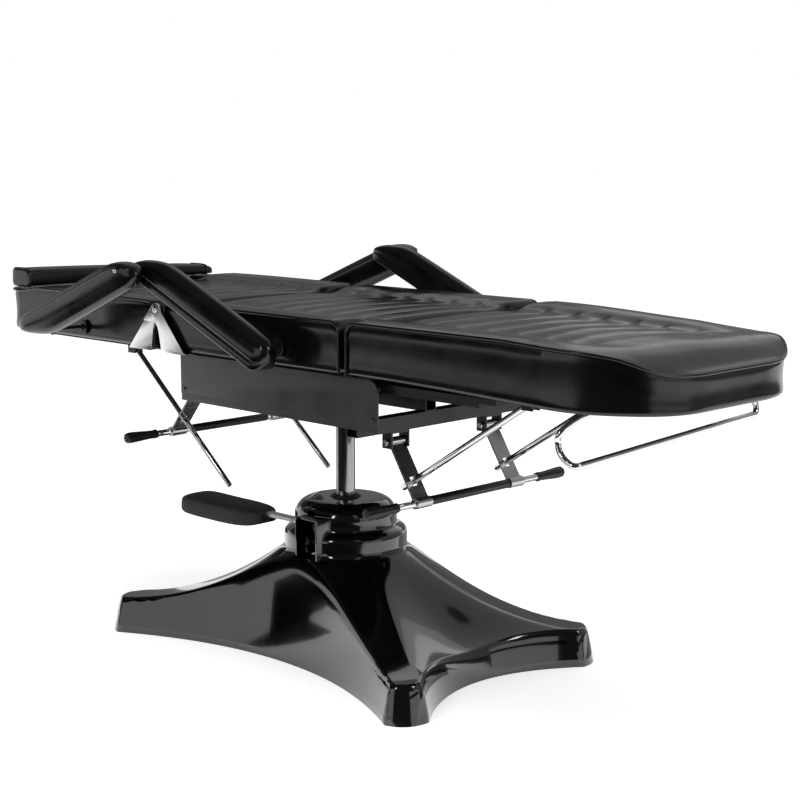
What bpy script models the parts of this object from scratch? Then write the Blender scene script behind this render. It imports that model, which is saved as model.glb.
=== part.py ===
"""Hydraulic treatment table: a three-section padded top on a hydraulic column.

Frame: +X towards the foot end, +Y towards the left side of someone who sits on it,
+Z up, origin on the column axis at the floor. All sizes are in metres.
"""
import math

import bmesh
import bpy
from mathutils import Matrix, Vector

# Width of the table, from its middle to the side of a cushion.
HALF_WIDTH = 0.300

# Fits and gaps.
FIT = 0.0003
RUNNING = 0.0006
SLIDE_ROOM = 0.0035

# Hydraulic column.
PISTON_RADIUS = 0.0212
PISTON_FOOT_Z = 0.140
PUMP_WALL = 0.013
PUMP_FLANGE_RADIUS = 0.052
PUMP_FLANGE_HEIGHT = 0.010
GLAND_WALL = 0.011
GLAND_RISE = 0.004
HUB_WALL = 0.012
HUB_LENGTH = 0.030
HEAD_RADIUS = 0.090
HEAD_THICKNESS = 0.012

# Moulded base, seen from above and from the side.
BASE_END_X = 0.385
BASE_SIDE_Y = 0.186
FOOT_END_X, FOOT_END_Y = 0.480, 0.238
FOOT_SIDE_X, FOOT_SIDE_Y = 0.430, 0.308
FOOT_TIP_X, FOOT_TIP_Y = 0.482, 0.296
FOOT_RIM_Z = 0.077
END_RIM_Z = 0.062
WALL_FOOT_Z = 0.032
WALL_SLOPE = 3.6
EDGE_ROUND = 0.026
RIM_FLARE = 0.003
ARM_FALL = 2.2
END_FALL = 1.6
COVER_WALL = 0.007
COVER_INSET = 0.012
COVER_SINK = 0.022
DOME_TOP_Z = 0.335
DOME_CROWN = 0.036
DOME_UPPER_RADIUS = 0.1124
DOME_LOWER_RADIUS = 0.1350
DOME_UPPER_STEP_Z = 0.267
DOME_LOWER_STEP_Z = 0.226
DOME_EDGE = 0.010
SHOULDER_RADIUS = 0.146
SHOULDER_Z = 0.220
PLATE_THICKNESS = 0.006
PLATE_INSET = COVER_INSET * 1.2

# Foot pedal.
PEDAL_PIVOT_Z = 0.274
PEDAL_Y = -0.056
PEDAL_ARM_WIDTH = 0.022
PEDAL_ARM_THICKNESS = 0.008
PEDAL_EYE_RADIUS = 0.013
PEDAL_PIN_RADIUS = 0.006
PEDAL_REACH = 0.300
PEDAL_PAD_X = (-0.470, -0.195)
PEDAL_PAD_WIDTH = 0.100
PEDAL_PAD_HEIGHT = 0.046
PEDAL_SLOT_ROOM = 0.007
PEDAL_SLOT_Z = (0.218, 0.294)
PEDAL_WINDOW_X = (-0.010, 0.050)

# Seat frame.
SKIRT_X = (-0.210, 0.390)
SKIRT_Z = (0.558, 0.6594)
SKIRT_OUTER_Y = HALF_WIDTH - 0.015
SKIRT_WALL = 0.004
SKIRT_CORNER = 0.025
FLANGE_WIDTH = 0.019
FLANGE_WALL = 0.0035
TUBE = 0.030
TUBE_WALL = 0.002
RAIL_Y = 0.055
FRONT_TUBE_X = 0.295
REAR_TUBE_X = -0.295
MID_TUBE_X = -0.185
REAR_TUBE_HALF = HALF_WIDTH - 0.115
FRONT_TUBE_Z = 0.537

# Padded sections.
PAD_BASE_Z = 0.663
PIPE_Z = 0.766
SIDE_DRAW = 0.005
END_ROUND = 0.010
BASE_TUCK = 0.055
EDGE_TURN = 0.010
PIPE_BAND = 0.012
RIM_TURN = 0.008
RIM_WIDTH = 0.115
RIM_RISE = 0.006
MIDDLE_SINK = 0.010
MIDDLE_CROWN = 0.008
CHANNEL_DEPTH = 0.005
CHANNEL_HALF = 0.007
CHANNEL_PITCH = 0.075
CHANNELS = 6
BACK_X = (-0.870, -0.280)
SEAT_X = (-0.250, 0.298)
LEG_X = (0.316, 0.997)
BACK_CHANNEL_X = -0.735
SEAT_CHANNEL_X = -0.160
LEG_CHANNEL_X = 0.410
FOOT_CORNER = 0.200
HEAD_CORNER = 0.060
HEAD_DROP = 0.008
FOOT_FALL = ((0.700, 0.0), (0.800, 0.006), (0.868, 0.014), (0.912, 0.022), (0.949, 0.033),
             (0.975, 0.045), (0.997, 0.051))
FOOT_BASE_DROP = 0.012
BOARD = 0.012
SEAT_BOARD = 0.0176
BOARD_HALF = HALF_WIDTH - 0.060
BOARD_INSET = 0.020
FOOT_BOARD_X = 0.900
PILLOW_X = (-0.866, -0.790)
PILLOW_HALF = HALF_WIDTH - 0.020
PILLOW_HEIGHT = 0.042
PILLOW_FAR_HEIGHT = 0.024

# Recline hinge at the side of the table.
RECLINE_X, RECLINE_Z = -0.267, 0.7495
LEAF = 0.003
LEAF_HEAD = 0.0135
LEAF_FOOT_INNER, LEAF_FOOT_OUTER = 0.026, 0.103
LEAF_FOOT_DEPTH = 0.085
LEAF_NOTCH_Z = 0.729
LEAF_PIN_RADIUS = 0.004

# Leg rest hinge and frame.
LEG_HINGE_X, LEG_HINGE_Z = 0.370, 0.6412
LEG_PIN_RADIUS = 0.006
LEG_RAIL_Y = (HALF_WIDTH - 0.064, HALF_WIDTH - 0.040)
LEG_RAIL_HEIGHT = 0.018
CROSS_BAR_WIDTH = 0.040
CROSS_BAR = 0.010

# Friction locks of the backrest and the leg rest.
ROD_RADIUS = 0.0065
ROD_EYE_RADIUS = 0.009
ROD_EYE_WIDTH = 0.014
LOCK_PIN_RADIUS = 0.004
LOCK_WIDTH = 0.042
LOCK_PLATE = 0.004
LOCK_BARREL = 0.009
LUG = 0.004
LUG_HALF = 0.013
LEVER_RADIUS = 0.007
LEVER_HALF = HALF_WIDTH - 0.006
GRIP_LENGTH = 0.084
GRIP_RADIUS = 0.0125
BACK_LOCK_X, BACK_LOCK_Z, BACK_LOCK_Y = -0.295, 0.578, REAR_TUBE_HALF - 0.035
BACK_LOCK_ARM = 0.126
BACK_LEVER_REACH = 0.166
BACK_ROD_LENGTH = 0.440
BACK_ROD_TOP_X = -0.555
LEG_LOCK_X, LEG_LOCK_Z, LEG_LOCK_Y = 0.295, 0.515, HALF_WIDTH - 0.160
LEG_LOCK_ARM = 0.090
LEG_LEVER_REACH = 0.136
LEG_ROD_LENGTH = 0.390
LEG_ROD_TOP_X = 0.645
ROD_TOP_Z = 0.630

# Armrests.
ARM_FRONT_X, ARM_FRONT_Z = 0.125, 0.702
ARM_APEX_X, ARM_APEX_Z = -0.195, 0.838
ARM_REAR_X, ARM_REAR_Z = -0.547, 0.690
ARM_TAIL_X, ARM_TAIL_Z = -0.590, 0.683
ARM_INNER_Y = HALF_WIDTH + 0.028
ARM_WIDTH = 0.054
ARM_HEIGHT = 0.068
ARM_FRONT_OVERHANG = 0.046
ARM_ELBOW = 0.085
ARM_CAP = 0.014
ARM_END = 0.045
ARM_BAR = 0.004
ARM_BAR_HEIGHT = 0.024
STUD_RADIUS = 0.017
STUD_NECK = 0.009
STUD_FLANGE = 0.008

# Chrome bar under the foot end.
FOOT_BAR_RADIUS = 0.006
FOOT_BAR_X = 0.862
FOOT_BAR_Y = HALF_WIDTH - 0.023
FOOT_BAR_NEAR_Z, FOOT_BAR_FAR_Z = 0.560, 0.588
FOOT_BAR_BOW = 0.040
FOOT_BAR_SEAT_Y = HALF_WIDTH - 0.085

# Colours as linear red, green and blue, then roughness and metallic.
FINISHES = {
    "black_leather": ((0.012, 0.012, 0.013), 0.35, 0.0),
    "black_moulding": ((0.008, 0.008, 0.009), 0.12, 0.0),
    "black_paint": ((0.030, 0.030, 0.032), 0.45, 0.0),
    "grey_paint": ((0.110, 0.110, 0.112), 0.40, 0.0),
    "chrome": ((0.780, 0.780, 0.790), 0.10, 1.0),
    "zinc_steel": ((0.560, 0.560, 0.570), 0.30, 1.0),
    "plywood": ((0.360, 0.240, 0.130), 0.70, 0.0),
    "black_rubber": ((0.020, 0.020, 0.020), 0.70, 0.0),
}

SIDES = {"left": 1.0, "right": -1.0}

# Heights that follow from the sizes above.
BOARD_TOP = PAD_BASE_Z - FIT
BOARD_FOOT = BOARD_TOP - BOARD
RAIL_Z = FRONT_TUBE_Z + TUBE + FIT
HEAD_TOP = RAIL_Z - FIT
HEAD_FOOT = HEAD_TOP - HEAD_THICKNESS
UPPER_TUBE_Z = RAIL_Z + TUBE + FIT
SKIRT_INNER_Y = SKIRT_OUTER_Y - SKIRT_WALL
SEAT_BOARD_FOOT = BOARD_TOP - SEAT_BOARD
PUMP_TOP = DOME_TOP_Z - GLAND_WALL
LEAF_INNER_Y = HALF_WIDTH + 2 * RUNNING
LEAF_OUTER_Y = LEAF_INNER_Y + LEAF + FIT
ARM_LAP_Y = ARM_INNER_Y + ARM_WIDTH + RUNNING
ARM_OUTER_Y = ARM_LAP_Y + ARM_WIDTH


def clear_scene():
    """Remove every object that the scene starts with."""
    for item in list(bpy.data.objects):
        bpy.data.objects.remove(item, do_unlink=True)


def finish(name):
    """Return the material of a finish, making it on first use."""
    found = bpy.data.materials.get(name)
    if found:
        return found
    colour, roughness, metallic = FINISHES[name]
    material = bpy.data.materials.new(name)
    material.use_nodes = True
    shader = material.node_tree.nodes["Principled BSDF"]
    shader.inputs["Base Color"].default_value = (*colour, 1.0)
    shader.inputs["Roughness"].default_value = roughness
    shader.inputs["Metallic"].default_value = metallic
    return material


def pivot(name, place, parent=None):
    """Return an empty on a joint's axis, which carries the pieces of one moving body."""
    empty = bpy.data.objects.new(name, None)
    bpy.context.collection.objects.link(empty)
    empty.empty_display_size = 0.05
    empty.location = place
    bpy.context.view_layer.update()
    if parent:
        hold(empty, parent)
    return empty


def hold(item, parent):
    """Parent an object to an empty without moving it."""
    item.parent = parent
    item.matrix_parent_inverse = parent.matrix_world.inverted()
    bpy.context.view_layer.update()


def make(name, shape, look, body, smooth=35.0):
    """Turn a bmesh into the named piece of a body."""
    bmesh.ops.remove_doubles(shape, verts=shape.verts, dist=1e-6)
    bmesh.ops.recalc_face_normals(shape, faces=shape.faces)
    mesh = bpy.data.meshes.new(name)
    shape.to_mesh(mesh)
    shape.free()
    mesh.materials.append(finish(look))
    mesh.shade_smooth()
    mesh.set_sharp_from_angle(angle=math.radians(smooth))
    item = bpy.data.objects.new(name, mesh)
    bpy.context.collection.objects.link(item)
    bpy.context.view_layer.update()
    if body:
        hold(item, body)
    return item


def combine(target, shapes, operation):
    """Join shapes to an object, or cut them out of it, and keep the result as its mesh."""
    for shape in shapes:
        tool = make("cutter", shape, "black_paint", None)
        step = target.modifiers.new(operation.lower(), "BOOLEAN")
        step.operation = operation
        step.solver = "EXACT"
        step.object = tool
        bpy.context.view_layer.update()
        graph = bpy.context.evaluated_depsgraph_get()
        result = bpy.data.meshes.new_from_object(target.evaluated_get(graph))
        target.modifiers.clear()
        target.data = result
        bpy.data.objects.remove(tool, do_unlink=True)
    return target


def cut(target, *shapes):
    """Cut shapes out of an object."""
    return combine(target, shapes, "DIFFERENCE")


def join(target, *shapes):
    """Weld shapes onto an object."""
    return combine(target, shapes, "UNION")


def box(low, high):
    """Return a block between two corners."""
    shape = bmesh.new()
    size = Vector(high) - Vector(low)
    centre = (Vector(high) + Vector(low)) / 2
    place = Matrix.Translation(centre) @ Matrix.Diagonal((*size, 1.0))
    bmesh.ops.create_cube(shape, size=1.0, matrix=place)
    return shape


def loft(rings, capped=True, looped=False):
    """Return a skin over rings of points, with flat ends or closed on itself."""
    shape = bmesh.new()
    rows = [[shape.verts.new(point) for point in ring] for ring in rings]
    pairs = list(zip(rows, rows[1:]))
    if looped:
        pairs.append((rows[-1], rows[0]))
    for here, there in pairs:
        for i in range(len(here)):
            k = (i + 1) % len(here)
            shape.faces.new((here[i], here[k], there[k], there[i]))
    if capped and not looped:
        shape.faces.new(list(reversed(rows[0])))
        shape.faces.new(rows[-1])
    return shape


def prism(outline, low, high, axis="y"):
    """Return an outline drawn square to an axis and pulled along it from low to high."""
    def place(a, b, c):
        return {"x": (c, a, b), "y": (a, c, b), "z": (a, b, c)}[axis]
    return loft([[place(a, b, c) for a, b in outline] for c in (low, high)])


def circle(radius, steps, centre=(0.0, 0.0)):
    """Return the points of a circle drawn on a plane."""
    turns = (2 * math.pi * (i + 0.5) / steps for i in range(steps))
    return [(centre[0] + radius * math.cos(t), centre[1] + radius * math.sin(t)) for t in turns]


def arc(centre, radius, start, end, steps):
    """Return points along an arc, with its angles in degrees."""
    turns = (math.radians(start + (end - start) * i / steps) for i in range(steps + 1))
    return [(centre[0] + radius * math.cos(t), centre[1] + radius * math.sin(t)) for t in turns]


def rod(start, end, radius, steps=16):
    """Return a round bar between two points."""
    return tube_along([start, end], radius, steps)


def tube_along(points, radius, steps=12):
    """Return a round bar that follows points without twisting."""
    path = [Vector(point) for point in points]
    heading = (path[1] - path[0]).normalized()
    side = heading.orthogonal().normalized()
    rings = []
    for i, point in enumerate(path):
        before = path[max(i - 1, 0)]
        after = path[min(i + 1, len(path) - 1)]
        aim = (after - before).normalized()
        side = (side - side.dot(aim) * aim).normalized()
        up = aim.cross(side)
        rings.append([point + side * a + up * b for a, b in circle(radius, steps)])
    return loft(rings)


def turned(profile, steps=24, centre=(0.0, 0.0, 0.0), axis="z"):
    """Return a closed profile of radius and height points, turned about an axis."""
    rings = []
    for radius, height in profile:
        ring = []
        for a, b in circle(max(radius, 0.0), steps):
            offset = {"z": (a, b, height), "y": (b, height, a)}[axis]
            ring.append(Vector(centre) + Vector(offset))
        rings.append(ring)
    shape = loft(rings, capped=False, looped=True)
    bmesh.ops.remove_doubles(shape, verts=shape.verts, dist=1e-6)
    bmesh.ops.dissolve_degenerate(shape, edges=shape.edges, dist=1e-6)
    return shape


def turned_solid(profile, steps=24, centre=(0.0, 0.0, 0.0), axis="z"):
    """Return a solid turned from a profile that runs from end to end outside the axis."""
    rings = []
    for radius, height in profile:
        ring = []
        for a, b in circle(radius, steps):
            offset = {"z": (a, b, height), "y": (b, height, a)}[axis]
            ring.append(Vector(centre) + Vector(offset))
        rings.append(ring)
    return loft(rings)


def square_tube(low, high, axis, wall):
    """Return a rectangular tube, open at both ends of its axis."""
    along = "xyz".index(axis)
    across = [i for i in range(3) if i != along]
    def ring(inset, place):
        corners = []
        for a, b in ((0, 0), (1, 0), (1, 1), (0, 1)):
            point = [0.0, 0.0, 0.0]
            point[along] = place
            for use, side in ((across[0], a), (across[1], b)):
                point[use] = high[use] - inset if side else low[use] + inset
            corners.append(point)
        return corners
    ends = low[along], high[along]
    rings = [ring(0, ends[0]), ring(0, ends[1]), ring(wall, ends[1]), ring(wall, ends[0])]
    return loft(rings, looped=True)


def blend(a, b, share):
    """Return the value that lies a share of the way from a to b."""
    return a + (b - a) * share


def smooth_step(value, start, end):
    """Return 0 before start, 1 after end, and an even rise between."""
    share = min(max((value - start) / (end - start), 0.0), 1.0)
    return share * share * (3 - 2 * share)


def base_quarter():
    """Return a quarter of the base outline with each point's share of the arm's crest."""
    points = []
    for i in range(4):
        share = i / 3
        x = blend(BASE_END_X, FOOT_END_X, share ** 2)
        points.append((x, FOOT_END_Y * share, share ** 1.5))
    for share in (0.3, 0.7):
        keep = 1 - share
        x = keep ** 2 * FOOT_END_X + 2 * keep * share * FOOT_TIP_X + share ** 2 * FOOT_SIDE_X
        y = keep ** 2 * FOOT_END_Y + 2 * keep * share * FOOT_TIP_Y + share ** 2 * FOOT_SIDE_Y
        points.append((x, y, 1.0))
    for i in range(7, -1, -1):
        share = i / 7
        y = blend(BASE_SIDE_Y, FOOT_SIDE_Y, share ** 2)
        points.append((FOOT_SIDE_X * share, y, 1.0))
    return points


def base_outline():
    """Return the whole base outline, counter-clockwise, with the crest shares."""
    quarter = base_quarter()
    points = list(quarter)
    points += [(-x, y, share) for x, y, share in reversed(quarter[:-1])]
    points += [(-x, -y, share) for x, y, share in quarter[1:]]
    points += [(x, -y, share) for x, y, share in reversed(quarter[1:-1])]
    return points


def offset_outline(points, distance):
    """Return an outline moved inwards by a distance, or outwards by a negative one."""
    moved = []
    for i, (x, y, share) in enumerate(points):
        before, after = points[i - 1], points[(i + 1) % len(points)]
        along = Vector((after[0] - before[0], after[1] - before[1])).normalized()
        moved.append((x - along.y * distance, y + along.x * distance, share))
    return moved


def edge_distance(x, y, outline):
    """Return how far a point lies inside an outline."""
    spot = Vector((x, y))
    nearest = math.inf
    for i, (ax, ay, _) in enumerate(outline):
        start = Vector((outline[i - 1][0], outline[i - 1][1]))
        side = Vector((ax, ay)) - start
        share = min(max((spot - start).dot(side) / side.length_squared, 0.0), 1.0)
        nearest = min(nearest, (spot - start - side * share).length)
    return nearest


def soft_lower(a, b, width):
    """Return the lower of two heights, rounded where they meet."""
    share = min(max(0.5 + 0.5 * (b - a) / width, 0.0), 1.0)
    return blend(b, a, share) - width * share * (1 - share)


def base_height(x, y, along, share, outline):
    """Return the cover's height: sloping arms and ends, cut off by steep walls at the edge."""
    reach = math.hypot(FOOT_TIP_X, FOOT_TIP_Y)
    out = min(max((math.hypot(x, y) - SHOULDER_RADIUS) / (reach - SHOULDER_RADIUS), 0.0), 1.0)
    crest = blend(FOOT_RIM_Z, SHOULDER_Z, (1 - out) ** ARM_FALL)
    end = blend(END_RIM_Z, SHOULDER_Z, (1 - along) ** END_FALL)
    wall = WALL_FOOT_Z + WALL_SLOPE * edge_distance(x, y, outline)
    return soft_lower(blend(end, crest, share), wall, EDGE_ROUND)


def base_cover(body):
    """Build the moulded shell with its stepped dome, four arms and pedal recess."""
    outline = base_outline()

    def round_ring(radius, z):
        ring = []
        for x, y, _ in outline:
            reach = math.hypot(x, y)
            ring.append((x / reach * radius, y / reach * radius, z))
        return ring

    def slope_ring(along, edge, shoulder, sink):
        ring = []
        for x, y, share in edge:
            reach = math.hypot(x, y)
            px = blend(x / reach * shoulder, x, along)
            py = blend(y / reach * shoulder, y, along)
            ring.append((px, py, base_height(px, py, along, share, outline) - sink))
        return ring

    def floor_ring(edge):
        return [(x, y, FIT) for x, y, _ in edge]

    opening = PISTON_RADIUS + RUNNING + GLAND_WALL + 2 * RUNNING
    lower_edge = DOME_LOWER_RADIUS - DOME_EDGE
    flat, spring = DOME_UPPER_RADIUS - DOME_CROWN, DOME_TOP_Z - DOME_CROWN
    outer = [
        round_ring(opening, DOME_TOP_Z),
        *(round_ring(r, z) for r, z in reversed(arc((flat, spring), DOME_CROWN, 0, 90, 5))),
        round_ring(DOME_UPPER_RADIUS, DOME_UPPER_STEP_Z),
        round_ring(lower_edge + DOME_EDGE * 0.7, DOME_UPPER_STEP_Z - DOME_EDGE * 0.3),
        round_ring(DOME_LOWER_RADIUS, DOME_UPPER_STEP_Z - DOME_EDGE),
        round_ring(DOME_LOWER_RADIUS, DOME_LOWER_STEP_Z),
    ]
    outer += [slope_ring(s, outline, SHOULDER_RADIUS, 0.0)
              for s in (0.0, 0.12, 0.26, 0.42, 0.58, 0.72, 0.83, 0.91, 0.965, 1.0)]
    outer.append(floor_ring(offset_outline(outline, -RIM_FLARE)))
    inset = offset_outline(outline, COVER_INSET)
    inner_shoulder = SHOULDER_RADIUS - COVER_INSET
    roof = DOME_TOP_Z - COVER_WALL
    inner = [floor_ring(inset)]
    inner += [slope_ring(s, inset, inner_shoulder, COVER_SINK) for s in (0.97, 0.8, 0.55, 0.3, 0.0)]
    inner += [round_ring(DOME_UPPER_RADIUS - COVER_WALL, DOME_LOWER_STEP_Z - COVER_WALL),
              round_ring(DOME_UPPER_RADIUS - COVER_WALL, spring), round_ring(flat, roof),
              round_ring(opening, roof)]
    cover = make("base_cover", loft(outer + inner, looped=True), "black_moulding", body, 40.0)
    half_slot = PEDAL_ARM_WIDTH / 2 + PEDAL_SLOT_ROOM
    slot = box((-SHOULDER_RADIUS * 1.4, PEDAL_Y - half_slot, PEDAL_SLOT_Z[0]),
               (0.0, PEDAL_Y + half_slot, PEDAL_SLOT_Z[1]))
    window = box((PEDAL_WINDOW_X[0], -SHOULDER_RADIUS * 1.4, PEDAL_SLOT_Z[0]),
                 (PEDAL_WINDOW_X[1], PEDAL_Y, spring + DOME_CROWN / 4))
    return cut(cover, slot, window)


def base_parts(body):
    """Build the cover, the floor plate, the pump and its gland."""
    base_cover(body)
    footprint = [(x, y) for x, y, _ in offset_outline(base_outline(), PLATE_INSET)]
    make("base_plate", prism(footprint, 0.0, PLATE_THICKNESS, "z"), "black_paint", body)
    bore = PISTON_RADIUS + RUNNING
    outer = bore + PUMP_WALL
    foot = PLATE_THICKNESS + FIT
    floor = foot + PUMP_FLANGE_HEIGHT
    pump = turned_solid([(PUMP_FLANGE_RADIUS, foot), (PUMP_FLANGE_RADIUS, floor),
                         (outer, floor), (outer, PUMP_TOP - FIT)])
    cylinder = make("pump_cylinder", pump, "zinc_steel", body)
    cut(cylinder, turned_solid([(bore, floor), (bore, PUMP_TOP + GLAND_WALL)]))
    rim = bore + GLAND_WALL
    top = DOME_TOP_Z + GLAND_RISE
    ring = turned([(bore, PUMP_TOP), (rim, PUMP_TOP), (rim, top - GLAND_RISE),
                   (rim - GLAND_RISE, top), (bore, top)])
    make("pump_gland", ring, "black_rubber", body)
    pin_y = -math.sqrt(outer ** 2 - PEDAL_PIN_RADIUS ** 2) - FIT
    reach = PEDAL_Y - PEDAL_ARM_WIDTH / 2 - PEDAL_PIN_RADIUS
    pin = rod((0.0, pin_y - FIT, PEDAL_PIVOT_Z), (0.0, reach, PEDAL_PIVOT_Z), PEDAL_PIN_RADIUS)
    make("pedal_pin", pin, "zinc_steel", body)


def pedal_parts(body):
    """Build the pedal arm and the rubber pad that slips over its end."""
    half = PEDAL_ARM_THICKNESS / 2
    low = PEDAL_Y - PEDAL_ARM_WIDTH / 2
    high = PEDAL_Y + PEDAL_ARM_WIDTH / 2
    turn = math.degrees(math.asin(half / PEDAL_EYE_RADIUS))
    eye = arc((0.0, PEDAL_PIVOT_Z), PEDAL_EYE_RADIUS, -180 + turn, 180 - turn, 14)
    outline = eye + [(-PEDAL_REACH, PEDAL_PIVOT_Z + half), (-PEDAL_REACH, PEDAL_PIVOT_Z - half)]
    arm = make("pedal_arm", prism(outline, low, high), "zinc_steel", body)
    cut(arm, prism(circle(PEDAL_PIN_RADIUS + RUNNING, 16, (0.0, PEDAL_PIVOT_Z)),
                   low - half, high + half))
    start, end = PEDAL_PAD_X
    top = PEDAL_PIVOT_Z + PEDAL_PAD_HEIGHT * 0.26
    rings = []
    for share, wide, tall, lift in ((0.0, 0.62, 0.40, 0.25), (0.03, 0.84, 0.72, 0.10),
                                    (0.10, 0.98, 0.96, 0.0), (0.45, 1.0, 1.0, 0.0),
                                    (0.75, 0.98, 0.96, 0.0), (0.90, 0.84, 0.84, 0.04),
                                    (0.97, 0.62, 0.66, 0.10), (1.0, 0.40, 0.46, 0.16)):
        x = blend(start, end, share)
        across = PEDAL_PAD_WIDTH / 2 * wide
        crown = top - PEDAL_PAD_HEIGHT * lift
        under = crown - PEDAL_PAD_HEIGHT * tall
        section = ((-1.0, 0.30), (-0.98, 0.72), (-0.80, 0.95), (-0.35, 1.0), (0.35, 1.0),
                   (0.80, 0.95), (0.98, 0.72), (1.0, 0.30), (0.88, 0.0), (-0.88, 0.0))
        rings.append([(x, PEDAL_Y + across * a, blend(under, crown, b))
                      for a, b in section])
    pad = make("pedal_pad", loft(rings), "black_rubber", body)
    room = Vector((FIT, FIT, FIT))
    cut(pad, box(Vector((-PEDAL_REACH, low, PEDAL_PIVOT_Z - half)) - room,
                 Vector((end + half, high, PEDAL_PIVOT_Z + half)) + room))


def column_parts(piston, frame):
    """Build the chrome piston and the swivel head that turns on it."""
    top = HEAD_FOOT + HEAD_THICKNESS / 2
    make("lift_piston", turned_solid([(PISTON_RADIUS, PISTON_FOOT_Z), (PISTON_RADIUS, top)]),
         "chrome", piston)
    bore = PISTON_RADIUS + FIT
    hub = bore + HUB_WALL
    head = turned_solid([(hub, HEAD_FOOT - HUB_LENGTH), (hub, HEAD_FOOT),
                         (HEAD_RADIUS, HEAD_FOOT), (HEAD_RADIUS, HEAD_TOP)])
    socket = turned_solid([(bore, HEAD_FOOT - HUB_LENGTH * 2), (bore, top + FIT)])
    cut(make("swivel_head", head, "black_paint", frame), socket)


def skirt(side, sign, frame):
    """Build one folded side plate with its flanges and the leg rest's stub pin."""
    start, end = SKIRT_X
    foot, top = SKIRT_Z
    corner = arc((end - SKIRT_CORNER, top - SKIRT_CORNER), SKIRT_CORNER, 0, 90, 6)
    outline = [(start, foot), (end, foot), *corner, (start, top)]
    plate = prism(outline, sign * SKIRT_INNER_Y, sign * SKIRT_OUTER_Y)
    item = make(f"side_skirt_{side}", plate, "grey_paint", frame)
    lap = SKIRT_WALL / 2
    inner = SKIRT_INNER_Y - FLANGE_WIDTH
    seat_end = SEAT_X[1] - BOARD_INSET / 2
    shelf = SEAT_BOARD_FOOT - FIT

    def flange(x_end, z):
        ys = sorted((sign * inner, sign * (SKIRT_INNER_Y + lap)))
        return box((start, ys[0], z), (x_end, ys[1], z + FLANGE_WALL))

    join(item, flange(end - SKIRT_CORNER, foot), flange(seat_end, shelf - FLANGE_WALL))
    pin = rod((LEG_HINGE_X, sign * (SKIRT_INNER_Y + lap), LEG_HINGE_Z),
              (LEG_HINGE_X, sign * LEG_RAIL_Y[0], LEG_HINGE_Z), LEG_PIN_RADIUS)
    return join(item, pin)


def cross_tube(name, x, z, half, frame):
    """Build one square tube that runs across the seat frame."""
    tube = square_tube((x - TUBE / 2, -half, z), (x + TUBE / 2, half, z + TUBE), "y", TUBE_WALL)
    make(name, tube, "black_paint", frame)


def clevis(name, x, z, y, roof, frame):
    """Build the bracket and bolt from which a lock plate hangs below a tube."""
    inner = LOCK_WIDTH / 2 + RUNNING
    outer = inner + LUG
    base = box((x - LUG_HALF, y - outer, roof - LUG), (x + LUG_HALF, y + outer, roof))
    item = make(name, base, "black_paint", frame)
    drop = z - LUG_HALF
    for low, high in ((y - outer, y - inner), (y + inner, y + outer)):
        join(item, box((x - LUG_HALF, low, drop), (x + LUG_HALF, high, roof - LUG / 2)))
    bolt = rod((x, y - outer - LUG, z), (x, y + outer + LUG, z), LOCK_PIN_RADIUS)
    join(item, bolt)


def frame_parts(frame):
    """Build the welded seat frame, its side plates and the lock brackets."""
    rail_ends = REAR_TUBE_X - TUBE / 2, FRONT_TUBE_X + TUBE / 2
    for side, sign in SIDES.items():
        mid = sign * RAIL_Y
        rail = square_tube((rail_ends[0], mid - TUBE / 2, RAIL_Z),
                           (rail_ends[1], mid + TUBE / 2, RAIL_Z + TUBE), "x", TUBE_WALL)
        make(f"chassis_rail_{side}", rail, "black_paint", frame)
        skirt(side, sign, frame)
    edge = SKIRT_INNER_Y - FLANGE_WIDTH - FIT
    cross_tube("cross_tube_front", FRONT_TUBE_X, FRONT_TUBE_Z, edge, frame)
    cross_tube("cross_tube_middle", MID_TUBE_X, UPPER_TUBE_Z, SKIRT_INNER_Y - FIT, frame)
    cross_tube("cross_tube_rear", REAR_TUBE_X, UPPER_TUBE_Z, REAR_TUBE_HALF, frame)
    for side, sign in SIDES.items():
        clevis(f"back_clevis_{side}", BACK_LOCK_X, BACK_LOCK_Z, sign * BACK_LOCK_Y,
               UPPER_TUBE_Z - FIT, frame)
        clevis(f"leg_clevis_{side}", LEG_LOCK_X, LEG_LOCK_Z, sign * LEG_LOCK_Y,
               FRONT_TUBE_Z - FIT, frame)


def pad_ring(x, half, swell, z_pipe, base_edge, pull, groove):
    """Return one cross-section of a padded section, from under its middle round to it again.

    swell scales the raised rims and the sunken middle, pull draws the whole section in, as
    it is at a rounded end, and groove presses the middle down, as it is at a sewn channel.
    """
    half = half - pull
    z_pipe = z_pipe - pull
    base = PAD_BASE_Z + pull * 0.6
    edge = base_edge + pull * 0.6
    rim = RIM_RISE * swell
    middle = z_pipe - MIDDLE_SINK * swell
    flank = min(RIM_WIDTH, half * 0.5)
    right = [
        (half - min(BASE_TUCK, half * 0.3), base if base_edge >= PAD_BASE_Z - FIT else edge),
        (half - EDGE_TURN * 1.2, edge),
        (half - EDGE_TURN * 0.3, edge + EDGE_TURN),
        (half - SIDE_DRAW, blend(edge, z_pipe, 0.5)),
        (half - PIPE_BAND / 6, z_pipe - PIPE_BAND),
        (half, z_pipe),
        (half - RIM_TURN, z_pipe + rim * 0.7),
        (half - flank * 0.32, z_pipe + rim),
        (half - flank * 0.68, z_pipe + rim * 0.55),
        (half - flank, middle + RIM_TURN / 2 - groove * 0.4),
        (half * 0.40, middle + MIDDLE_CROWN * 0.7 - groove),
    ]
    left = [(-y, z) for y, z in reversed(right)]
    crown = (0.0, middle + MIDDLE_CROWN - groove)
    return [(x, y, z) for y, z in (*right, crown, *left)]


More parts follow.
